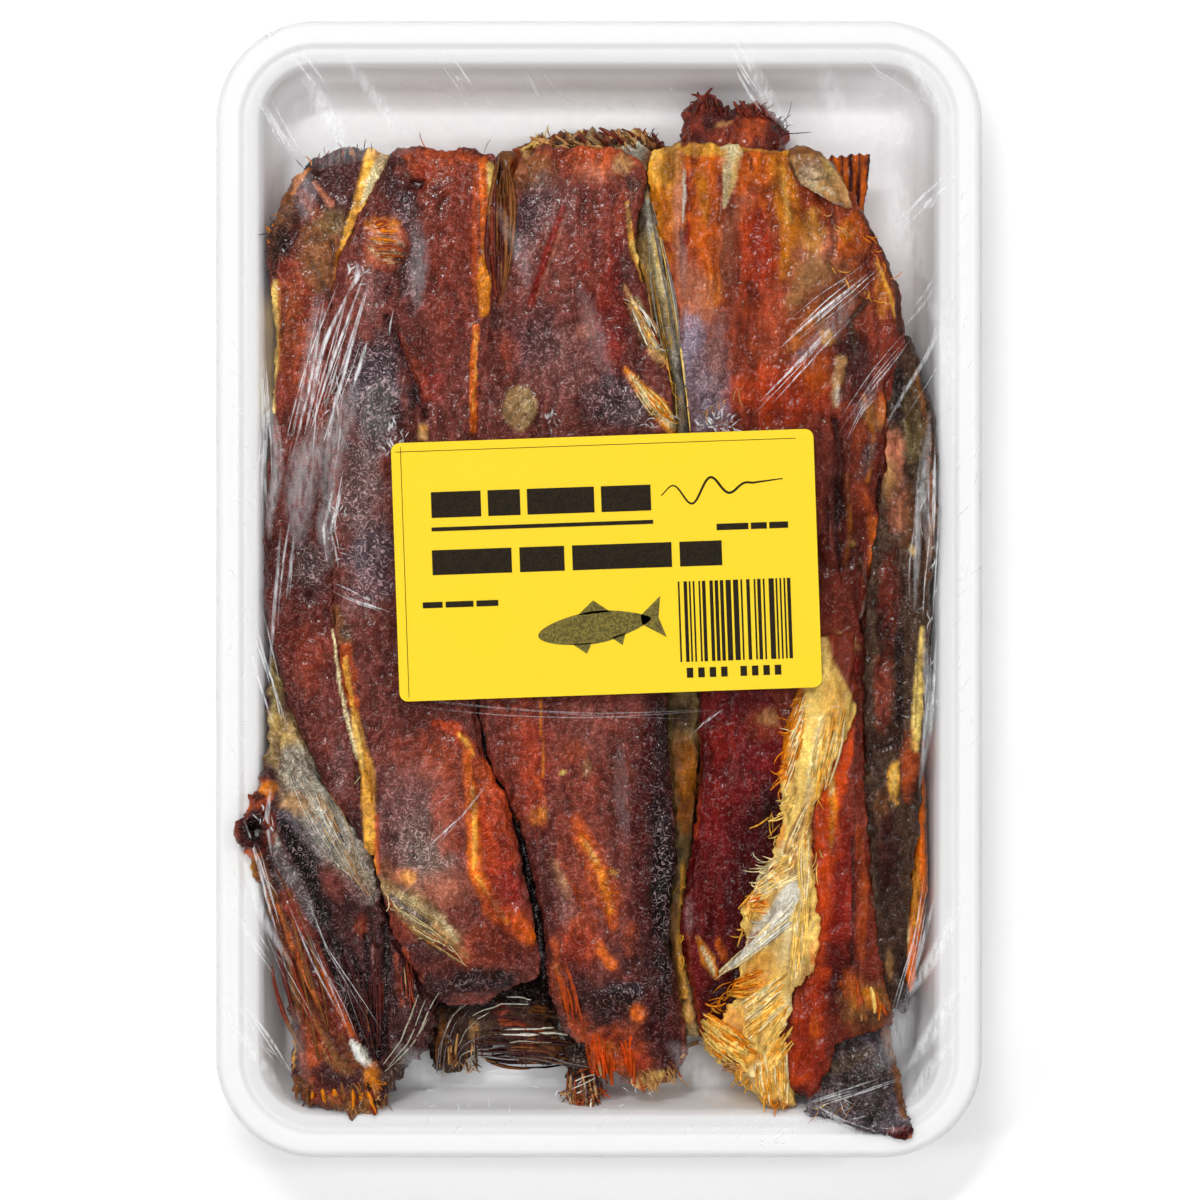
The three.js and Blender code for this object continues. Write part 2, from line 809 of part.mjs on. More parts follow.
// The height of the film's underside at each grid place: a taut sheet from rim to rim that the fish
// holds up, and that lies flat under the sticker.
function filmHeights(fish) {
  const rim = TRAY_HEIGHT + GAP;
  const stepX = TRAY_WIDTH / FILM_COLUMNS;
  const stepY = TRAY_LENGTH / FILM_ROWS;
  const places = [];
  for (let j = 0; j <= FILM_ROWS; j++) {
    for (let i = 0; i <= FILM_COLUMNS; i++) {
      const [x, y] = filmPlan((2 * i) / FILM_COLUMNS - 1, (2 * j) / FILM_ROWS - 1, GAP);
      places.push({ i, j, x, y, least: rim });
    }
  }
  const high = fish.flatMap(({ solid }) => surfacePoints(solid)).filter((p) => p.z + GAP > rim);
  for (const place of places) {
    for (const p of high) {
      if (Math.abs(p.x - place.x) > stepX || Math.abs(p.y - place.y) > stepY) continue;
      place.least = Math.max(place.least, p.z + GAP);
    }
  }
  const flatX = STICKER.width / 2 + stepX;
  const flatY = STICKER.length / 2 + stepY;
  const flat = places.filter((p) => Math.abs(p.x - STICKER.x) < flatX && Math.abs(p.y - STICKER.y) < flatY);
  const plane = Math.max(...flat.map((p) => p.least));
  for (const place of flat) place.least = plane;
  const heights = places.map((p) => p.least);
  const at = (i, j) => j * (FILM_COLUMNS + 1) + i;
  for (let round = 0; round < TAUT_ROUNDS; round++) {
    for (const { i, j, least } of places) {
      if (i === 0 || j === 0 || i === FILM_COLUMNS || j === FILM_ROWS) continue;
      const beside = heights[at(i - 1, j)] + heights[at(i + 1, j)];
      const above = heights[at(i, j - 1)] + heights[at(i, j + 1)];
      heights[at(i, j)] = Math.max(least, (beside + above) / 4);
    }
  }
  return { plane, heightAt: (i, j) => heights[at(i, j)] };
}

// One face of the film: outward is 0 for the face on the fish and the thickness for the outer one.
function filmFace(film, outward) {
  const columns = FILM_COLUMNS + 2 * FILM_SKIRT_ROWS;
  const rows = FILM_ROWS + 2 * FILM_SKIRT_ROWS;
  return new ParametricGeometry(
    (u, v, target) => {
      const column = Math.round(u * columns) - FILM_SKIRT_ROWS;
      const row = Math.round(v * rows) - FILM_SKIRT_ROWS;
      const i = clamp(column, 0, FILM_COLUMNS);
      const j = clamp(row, 0, FILM_ROWS);
      const down = Math.max(Math.abs(column - i), Math.abs(row - j));
      const [a, b] = [(2 * i) / FILM_COLUMNS - 1, (2 * j) / FILM_ROWS - 1];
      const hem = down === FILM_SKIRT_ROWS;
      const [x, y] = filmPlan(a, b, hem ? -FILM_HEM_INSET : GAP + outward);
      const heights = [film.heightAt(i, j) + outward, FILM_LIP_HEIGHT, FILM_HEM_HEIGHT];
      target.set(x, y, heights[down]);
    },
    columns,
    rows,
  );
}

function filmSolid(film) {
  const outer = filmFace(film, FILM_THICKNESS);
  const inner = filmFace(film, 0);
  inner.index.array.reverse();
  return solidOf(mergeGeometries([outer, inner]));
}

// ---- label and sticker ----
function sheetSolid(sheet, height) {
  const [w, l, r] = [sheet.width / 2, sheet.length / 2, sheet.corner];
  const shape = new THREE.Shape();
  shape.absarc(w - r, l - r, r, 0, Math.PI / 2);
  shape.absarc(r - w, l - r, r, Math.PI / 2, Math.PI);
  shape.absarc(r - w, r - l, r, Math.PI, 1.5 * Math.PI);
  shape.absarc(w - r, r - l, r, 1.5 * Math.PI, 2 * Math.PI);
  const options = { depth: sheet.thickness, bevelEnabled: false, curveSegments: 3 };
  const geometry = new THREE.ExtrudeGeometry(shape, options);
  geometry.rotateZ(THREE.MathUtils.degToRad(sheet.turn));
  geometry.translate(sheet.x, sheet.y, height);
  return solidOf(geometry);
}

// ---- the pack ----
const pack = new THREE.Group();
pack.add(meshOf("tray", traySolid(), finish(0xf4f4f4, 0.6)));

const fish = placeFish();
for (const { piece, solid } of fish) pack.add(meshOf(piece.name, solid, finish(piece.color, 0.35)));

const film = filmHeights(fish);
const stickerHeight = film.plane + FILM_THICKNESS + GAP;
const labelHeight = stickerHeight + STICKER.thickness + GAP;
const clear = { transparent: true, opacity: 0.2 };
pack.add(meshOf("film", filmSolid(film), finish(0xffffff, 0.1, clear)));
pack.add(meshOf("clear_sticker", sheetSolid(STICKER, stickerHeight), finish(0xffffff, 0.2, clear)));
pack.add(meshOf("label", sheetSolid(LABEL, labelHeight), finish(0xffde2d, 0.5)));

export default pack;
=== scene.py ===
"""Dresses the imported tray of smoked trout: fish, foam tray, stretch film, clear sticker and label."""
import math
import random

import bmesh
import bpy
import numpy as np
from mathutils import Matrix, Vector


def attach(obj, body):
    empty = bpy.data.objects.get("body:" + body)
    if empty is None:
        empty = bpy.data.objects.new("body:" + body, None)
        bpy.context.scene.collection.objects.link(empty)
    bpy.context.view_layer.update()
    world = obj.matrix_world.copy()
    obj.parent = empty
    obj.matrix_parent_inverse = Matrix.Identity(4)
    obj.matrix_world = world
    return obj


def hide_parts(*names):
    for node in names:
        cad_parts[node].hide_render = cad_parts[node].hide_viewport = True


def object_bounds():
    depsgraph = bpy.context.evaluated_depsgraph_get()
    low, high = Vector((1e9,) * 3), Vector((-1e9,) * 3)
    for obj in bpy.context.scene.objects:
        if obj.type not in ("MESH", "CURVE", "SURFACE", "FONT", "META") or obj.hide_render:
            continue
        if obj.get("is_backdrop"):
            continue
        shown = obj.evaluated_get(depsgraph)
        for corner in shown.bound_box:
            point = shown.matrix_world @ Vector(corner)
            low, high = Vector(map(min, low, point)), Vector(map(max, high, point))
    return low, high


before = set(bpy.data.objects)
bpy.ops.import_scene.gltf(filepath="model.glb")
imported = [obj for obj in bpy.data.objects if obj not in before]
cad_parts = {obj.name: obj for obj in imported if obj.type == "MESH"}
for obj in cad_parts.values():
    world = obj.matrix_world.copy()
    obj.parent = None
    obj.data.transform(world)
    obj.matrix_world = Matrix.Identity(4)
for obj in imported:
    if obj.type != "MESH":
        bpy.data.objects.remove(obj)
cad_low, cad_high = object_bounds()

MM = 0.001
scene = bpy.context.scene
draw = random.Random(11)  # places the loose fibres; the order of its draws is part of the design

# ---- sizes, in millimetres ----
TRAY_WIDTH, TRAY_LENGTH, TRAY_CORNER = 154, 229, 20
TRAY_FLOOR, RIM_HEIGHT = 4.2, 24
SKIN_GRAIN, SKIN_SMOOTHING = 0.5, 5  # spacing of the fish's mesh, and its rounds of smoothing
FILM_STEP = 1.15  # spacing of the film's mesh
STICKER_FLAT = 28.9  # the film's height under the sticker
CREASE_LIFT = 0.06  # how far its creases lie off the film
LABEL_CENTRE, LABEL_TURN, LABEL_TOP = (1.5, 4.8), math.radians(2), 29.75
INK_LIFT, INK_DEPTH = 0.06, 0.03  # how far the print stands off the label, and how thick it is

# ---- the colours of smoked trout and its pack, as the eye sees them, from 0 to 255 ----
SHADES = {
    "soot": (24, 16, 16), "slate": (86, 78, 86), "pewter": (124, 114, 112), "silver": (176, 168, 148),
    "plum": (68, 32, 30), "purple": (112, 50, 40), "mauve": (142, 100, 96), "lilac": (150, 134, 150),
    "mahogany": (92, 36, 28), "redbrown": (122, 44, 26), "blood": (60, 10, 8), "crimson": (112, 20, 20),
    "brick": (152, 60, 32), "rust": (176, 70, 18), "ember": (202, 66, 4), "orange": (218, 98, 10),
    "amber": (220, 126, 12), "gold": (238, 168, 58), "straw": (242, 200, 104), "cream": (240, 218, 162),
    "ivory": (232, 226, 208), "tan": (196, 144, 86), "sand": (170, 138, 88), "olive": (132, 110, 64),
    "bark": (72, 48, 34), "tobacco": (130, 78, 38), "salmon": (200, 118, 84), "garnet": (142, 26, 8),
}


def linear(shade):
    """A colour from 0 to 255, or a shade's name, in the linear light that shaders use."""
    values = SHADES[shade] if isinstance(shade, str) else shade
    return tuple(((c / 255 + 0.055) / 1.055) ** 2.4 for c in values)


# ---- noise over arrays of places, in millimetres ----
def lattice(i, j, k, seed):
    """A repeatable number from 0 to 1 for each whole-number place."""
    mixed = (i * 374761393 + j * 668265263 + k * 1274126177 + seed * 974634777) & 0xFFFFFFFF
    mixed = ((mixed ^ (mixed >> 13)) * 1103515245) & 0xFFFFFFFF
    return ((mixed ^ (mixed >> 16)) & 0xFFFF) / 0xFFFF


def swell(place, size, seed):
    """Smooth noise from -1 to 1, about one lump for each size, on a grid that each seed turns its own way."""
    at = (place / np.asarray(size, float)) @ np.array(Matrix.Rotation(0.7 + 1.3 * seed, 3, (0.3, 0.2, 1)))
    cell = np.floor(at).astype(np.int64)
    t = at - cell
    t = t * t * (3 - 2 * t)
    total = np.zeros(len(place))
    for corner in range(8):
        dx, dy, dz = corner & 1, corner >> 1 & 1, corner >> 2 & 1
        weight = np.abs(1 - dx - t[:, 0]) * np.abs(1 - dy - t[:, 1]) * np.abs(1 - dz - t[:, 2])
        total += weight * lattice(cell[:, 0] + dx, cell[:, 1] + dy, cell[:, 2] + dz, seed)
    return 2 * total - 1


def ridges(place, size, seed):
    """Sharp winding ridges, from 0 between them to 1 on their crests."""
    return (1 - np.abs(swell(place, size, seed))) ** 3


def eased(value, low, high):
    """0 up to low and 1 from high, with a smooth rise between."""
    t = np.clip((value - low) / (high - low), 0, 1)
    return t * t * (3 - 2 * t)


# ---- strokes: where a shade or a low form lies on the fish, in millimetres of the frame ----
WIDEST_STROKE = 2.2  # past this many half-widths even a ragged edge has faded out


def spot(shade, x, y, across, along, share=0.85, turn=0, edge=0.45, lift=0.0, ragged=0.3):
    """An oval patch. turn is in degrees, edge is how soft its rim is, and lift is its height."""
    return locals()


def band(shade, points, width, share=0.85, edge=0.5, lift=0.0, ragged=0.3):
    """A strip along points. width is one number, or one for each point."""
    return locals()


def stroke_of(shade, where, *how):
    """A row of a table of strokes: a band where it holds points, or else a spot."""
    return (band if isinstance(where, list) else spot)(shade, where, *how)


def reach_of(stroke, place, seed):
    """How fully a stroke covers each place, from 0 to 1."""
    x, y = place[:, 0], place[:, 1]
    if "points" in stroke:
        points = stroke["points"]
        widths = stroke["width"]
        widths = widths if isinstance(widths, (list, tuple)) else [widths] * len(points)
        off = np.full(len(place), np.inf)
        for (x0, y0), (x1, y1), w0, w1 in zip(points, points[1:], widths, widths[1:]):
            dx, dy = x1 - x0, y1 - y0
            t = np.clip(((x - x0) * dx + (y - y0) * dy) / (dx * dx + dy * dy), 0, 1)
            apart = np.hypot(x - x0 - t * dx, y - y0 - t * dy)
            off = np.minimum(off, apart / np.maximum((w0 + t * (w1 - w0)) / 2, 0.05))
        size = max(1.0, max(widths) * 0.6)
    else:
        turn = math.radians(stroke["turn"])
        dx, dy = x - stroke["x"], y - stroke["y"]
        u = dx * math.cos(turn) + dy * math.sin(turn)
        v = dy * math.cos(turn) - dx * math.sin(turn)
        off = np.hypot(u / stroke["across"], v / stroke["along"])
        size = max(1.0, min(stroke["across"], stroke["along"]) * 0.6)
    near = off < WIDEST_STROKE
    cover = np.zeros(len(place))
    wander = swell(place[near], size, seed) + 0.5 * swell(place[near], size * 0.4, seed + 1)
    soft = stroke["edge"]
    cover[near] = 1 - eased(off[near] + stroke["ragged"] * wander, 1 - soft, 1 + soft)
    return cover


# ---- making pieces ----
def put(name, mesh, slot=None, node=None, material=None):
    """A finished piece, on the part's one body."""
    piece = bpy.data.objects.new(name, mesh)
    scene.collection.objects.link(piece)
    if material:
        mesh.materials.clear()
        mesh.materials.append(material)
    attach(piece, "root")
    if node:
        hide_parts(node)
    return piece


def seen_directly(piece):
    """Clear film hardly dims the light that reaches the fish, so only the camera looks through it."""
    piece.visible_shadow = piece.visible_diffuse = piece.visible_glossy = False


def smooth_shaded(mesh):
    """The mesh, with its facets blended in the light."""
    mesh.polygons.foreach_set("use_smooth", np.ones(len(mesh.polygons), bool))
    mesh.update()
    return mesh


def applied(rough):
    """The mesh of an object with its modifiers applied. The object is removed."""
    bpy.context.view_layer.update()
    made = bpy.data.meshes.new_from_object(rough.evaluated_get(bpy.context.evaluated_depsgraph_get()))
    bpy.data.objects.remove(rough)
    return made


def mesh_from(bm, name):
    """The bmesh as a new mesh. The bmesh is freed."""
    mesh = bpy.data.meshes.new(name)
    bm.to_mesh(mesh)
    bm.free()
    return mesh


def even_copy(node):
    """A fine, even copy of a CAD node's mesh, with its facets smoothed away."""
    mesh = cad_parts[node].data.copy()
    bm = bmesh.new()
    bm.from_mesh(mesh)
    bmesh.ops.remove_doubles(bm, verts=bm.verts, dist=1e-6)
    bm.to_mesh(mesh)
    bm.free()
    rough = bpy.data.objects.new("rough", mesh)
    scene.collection.objects.link(rough)
    even = rough.modifiers.new("even", "REMESH")
    even.mode = "VOXEL"
    even.voxel_size = SKIN_GRAIN * MM
    soften = rough.modifiers.new("soft", "SMOOTH")
    soften.factor = 0.5
    soften.iterations = SKIN_SMOOTHING
    return applied(rough)


def places_of(mesh):
    """The mesh's vertices, in millimetres, and their normals."""
    place = np.zeros(len(mesh.vertices) * 3)
    normal = np.zeros(len(mesh.vertices) * 3)
    mesh.vertices.foreach_get("co", place)
    mesh.vertex_normals.foreach_get("vector", normal)
    return place.reshape(-1, 3) / MM, normal.reshape(-1, 3)


def move_to(mesh, place):
    """Moves the mesh's vertices to those places, in millimetres."""
    mesh.vertices.foreach_set("co", (place * MM).ravel())
    mesh.update()


def paint(mesh, tint, skin):
    """Stores each vertex's colour, with the share of wrinkled skin as its alpha."""
    layer = mesh.color_attributes.new("tint", "FLOAT_COLOR", "POINT")
    layer.data.foreach_set("color", np.column_stack([tint, skin]).ravel())


# ---- material nodes ----
SKIN_RELIEF = 0.2  # depth of the creases in the fish's material
CREST, GLINT = (206, 170, 174), (240, 224, 218)  # the painted highlight along a crease's crest, and the painted glint of a wet fleck


class Weave:
    """A material's node tree, with one short call for each kind of node."""

    def __init__(self, name):
        self.material = bpy.data.materials.new(name)
        self.material.use_nodes = True
        self.tree = self.material.node_tree
        self.tree.nodes.clear()
        self.place = self.add("ShaderNodeTexCoord").outputs["Object"]

    def add(self, kind, **settings):
        node = self.tree.nodes.new(kind)
        for key, value in settings.items():
            setattr(node, key, value)
        return node

    def feed(self, socket, value):
        if isinstance(value, bpy.types.NodeSocket):
            self.tree.links.new(value, socket)
        else:
            socket.default_value = value

    def math(self, operation, *values):
        node = self.add("ShaderNodeMath", operation=operation)
        for socket, value in zip(node.inputs, values):
            self.feed(socket, value)
        return node.outputs[0]

    def noise(self, size, detail=2.0, rough=0.5, twist=0.0, stretch=(1, 1, 1), turn=0):
        """Noise from 0 to 1 with lumps of that size in millimetres, drawn out by stretch."""
        where = self.place
        if stretch != (1, 1, 1) or turn:
            mapping = self.add("ShaderNodeMapping", vector_type="TEXTURE")
            self.feed(mapping.inputs["Vector"], where)
            mapping.inputs["Rotation"].default_value = (0, 0, math.radians(turn))
            mapping.inputs["Scale"].default_value = stretch
            where = mapping.outputs[0]
        node = self.add("ShaderNodeTexNoise")
        self.feed(node.inputs["Vector"], where)
        node.inputs["Scale"].default_value = 1 / (size * MM)
        node.inputs["Detail"].default_value = detail
        node.inputs["Roughness"].default_value = rough
        node.inputs["Distortion"].default_value = twist
        return node.outputs[0]

    def cells(self, size):
        """How far each place is from the middle of its cell."""
        node = self.add("ShaderNodeTexVoronoi")
        self.feed(node.inputs["Vector"], self.place)
        node.inputs["Scale"].default_value = 1 / (size * MM)
        return node.outputs["Distance"]

    def span(self, value, low, high, to_low=0.0, to_high=1.0):
        """value, taken smoothly from low..high to to_low..to_high."""
        node = self.add("ShaderNodeMapRange", interpolation_type="SMOOTHSTEP")
        for socket, number in zip(node.inputs, (value, low, high, to_low, to_high)):
            self.feed(socket, number)
        return node.outputs[0]

    def blend(self, share, below, above):
        node = self.add("ShaderNodeMix", data_type="RGBA")
        self.feed(node.inputs[0], share)
        for socket, colour in ((node.inputs[6], below), (node.inputs[7], above)):
            self.feed(socket, (*colour, 1) if isinstance(colour, tuple) else colour)
        return node.outputs[2]

    def bump(self, height, depth, below=None):
        """A normal for relief of that depth in millimetres."""
        node = self.add("ShaderNodeBump")
        node.inputs["Strength"].default_value = 1.0
        node.inputs["Distance"].default_value = depth * MM
        self.feed(node.inputs["Height"], height)
        if below is not None:
            self.feed(node.inputs["Normal"], below)
        return node.outputs[0]

    def surface(self, colour, normal=None, **settings):
        """The usual shader. settings are its sockets, with _ for a space."""
        shader = self.add("ShaderNodeBsdfPrincipled")
        self.feed(shader.inputs["Base Color"], (*colour, 1) if isinstance(colour, tuple) else colour)
        if normal is not None:
            self.feed(shader.inputs["Normal"], normal)
        for key, value in settings.items():
            self.feed(shader.inputs[key.replace("_", " ")], value)
        return self.finish(shader.outputs[0])

    def finish(self, shader):
        out = self.add("ShaderNodeOutputMaterial")
        self.tree.links.new(shader, out.inputs["Surface"])
        return self.material


def fish_material(name, roughness=0.18, fibre=0.0, turn=0, mottle=0.26, fleck=0.45, wet=0.26):
    """Oily smoked fish: its painted shades under a wet gloss, with the fine winding creases of dried skin, painted
    shade in their hollows, painted highlights on their crests and painted glints.
    """
    w = Weave(name)
    source = w.add("ShaderNodeAttribute", attribute_name="tint")
    skin = source.outputs["Alpha"]
    fine = w.noise(1.3, 1, 0.6)
    # winding creases: the folded noise is 0 along their crests and 0.5 midway between them
    whorl = w.math("PINGPONG", w.math("MULTIPLY", w.noise(1.75, 1, 0.4), 6.2), 0.5)
    height = w.math("MULTIPLY_ADD", w.span(whorl, 0.32, 0.04), 0.1 if fibre else 0.22, fine)
    height = w.math("MULTIPLY_ADD", w.math("MULTIPLY", w.span(whorl, 0.32, 0.04), skin), 0.25, height)
    gain = w.span(fine, 0.3, 0.7, 1 - mottle, 1 + mottle)
    # painted shade: the hollows between the crests darker and the crests lighter, most where the skin is wrinkled
    hollow = w.span(whorl, 0.05, 0.36, 0.34, -0.5)
    hollow = w.math("MULTIPLY_ADD", w.math("MULTIPLY_ADD", skin, 0.75, 0.25), hollow, 1.0)
    gain = w.math("MULTIPLY", gain, hollow)
    if fibre:
        strand = w.noise(0.9, 1, 0.6, 0, (1, 9, 1), turn)
        gain = w.math("MULTIPLY", gain, w.span(strand, 0.25, 0.75, 1 - 0.45 * fibre, 1 + 0.45 * fibre))
        height = w.math("MULTIPLY_ADD", strand, 1.4 * fibre, height)
    tone = w.add("ShaderNodeVectorMath", operation="SCALE")
    w.feed(tone.inputs[0], source.outputs["Color"])
    w.feed(tone.inputs["Scale"], gain)
    # painted highlights as pale lines along the crests, and painted glints as small bright flecks where the skin is
    # wet
    line = w.math("MULTIPLY", w.span(whorl, 0.15, 0.05), w.span(fine, 0.38, 0.55))
    haze = w.blend(w.math("MULTIPLY", line, w.math("MULTIPLY", skin, 0.5)), tone.outputs[0], linear(CREST))
    dot = w.span(w.cells(1.1), 0.14, 0.09)
    dot = w.math("MULTIPLY", dot, w.math("MULTIPLY_ADD", skin, 0.9 * fleck, 0.1 * fleck))
    colour = w.blend(dot, haze, linear(GLINT))
    return w.surface(colour, w.bump(height, SKIN_RELIEF), Roughness=roughness, Specular_IOR_Level=wet)


# ---- the fish: its strokes, piece by piece, each laid over those before it ----
SEAM_FAT = [  # the seam of fat between the two left slabs
    ("tobacco", [(-53, -4), (-51.6, -9), (-50.6, -13)], [1.6, 2, 2.4], 0.9, 0.3),
    ("rust", [(-51.2, -12), (-50.2, -19), (-49.3, -25)], [2.4, 3.2, 2.2], 1, 0.25, 0.2),
    ("gold", [(-51, -14), (-50.4, -19), (-49.6, -24)], [0.7, 1.2, 0.9], 0.8, 0.3, 0.2),
    ("bark", -51, -8.5, 1.4, 1.6, 0.8),
    ("gold", [(-49.4, -25), (-48, -32), (-46.6, -37), (-46.3, -46), (-45.6, -57)], [1.6, 2.4, 2.8, 2.8, 2], 1, 0.25,
     0.5, 0.12),
    ("straw", [(-49.4, -26), (-48.2, -31), (-47.4, -36)], [0.9, 1.5, 1.1], 0.95, 0.35, 0.1, 0.15),
    ("gold", [(-47, -36), (-46.7, -45)], 1.2, 0.7),
    ("cream", [(-53.6, -8), (-52.4, -19), (-50.6, -27), (-48.8, -34)], [0.5, 0.6, 0.7, 0.6], 0.95, 0.3, 0.2, 0.15),
    ("ember", [(-44.9, -46), (-44.8, -57)], 1.1, 0.6),
]
# The mauve and lilac patches on the skins are partly the skin's own purple-grey and partly painted sheen of the film
# over it.
STROKES = {}
STROKES["left_slab"] = [
    ("redbrown", -58, 50, 9, 18, 0.75), ("brick", -60, 46, 7, 18, 0.3), ("plum", -54, 83, 7, 6, 0.9),
    ("tobacco", [(-61, 82), (-64, 75), (-65, 68)], [2, 3, 3], 0.7),
    ("amber", [(-57, 88), (-60, 84.4), (-61.6, 80)], [1, 1.7, 0.7], 0.95, 0.3),
    ("salmon", [(-57.5, 82), (-54, 77.6)], [0.8, 1.3], 0.8, 0.5, 0.3),
    ("brick", [(-60, 80), (-56, 74), (-52, 66)], [2.4, 3, 2], 0.6),
    ("soot", -64.2, 70, 2.2, 3.6, 0.85, -12, 0.45, -0.3), ("bark", -62, 76, 2, 2, 0.6),
    ("tobacco", -55.5, 68, 4.6, 7, 0.85), ("olive", -54, 74, 3, 2.6, 0.5),
    ("bark", -56.6, 71, 3, 1.2, 0.5, 30, 0.45, -0.3),
    ("bark", [(-58, 66), (-55.4, 61), (-52, 54)], [0.8, 1.1, 0.8], 0.7, 0.4, -0.4),
    ("bark", [(-54, 70), (-53, 64)], 0.8, 0.6, 0.4, -0.3),
    ("gold", [(-44.6, 87.5), (-46.8, 82), (-49.6, 75.5), (-51.8, 69)], [5.6, 3.8, 1.9, 1.2], 1, 0.15, 0.25, 0.15),
    ("cream", [(-43.8, 86.6), (-46.2, 81.4), (-48, 78)], [2.6, 2.0, 0.7], 0.95, 0.4, 0.1, 0.15),
    ("tobacco", [(-47.6, 86.4), (-49.2, 79.6)], 0.6, 0.7),
    ("amber", [(-52.4, 68), (-52.6, 62), (-50, 54)], [1.2, 2.4, 1.4], 0.55), ("brick", -63, 60, 2.6, 6, 0.9),
    ("tobacco", -62.6, 54, 2.6, 8, 0.4), ("rust", -61, 50, 3.4, 8, 0.4),
    ("straw", [(-65.5, 62), (-65.3, 50), (-65.7, 36)], 1.0, 0.95, 0.3),
    ("amber", [(-64.6, 62), (-64.6, 44)], 0.7, 0.6), ("mauve", -56, 50, 2.6, 8, 0.3), ("plum", -58, 8, 6, 10, 0.55),
    # the pewter spot here is painted sheen
    ("pewter", -58.5, 5, 3, 4, 0.3), ("redbrown", -59, -14, 4, 8, 0.8), ("purple", -55, -27, 3, 7, 0.6),
    ("mauve", -52, -36, 2, 6, 0.3), ("plum", -49.5, -50, 3, 6, 0.8),
    ("tan", [(-53, 11), (-52.6, 2), (-52.3, -6)], [1.2, 1.4, 1.4], 0.7, 0.3), *SEAM_FAT,
]
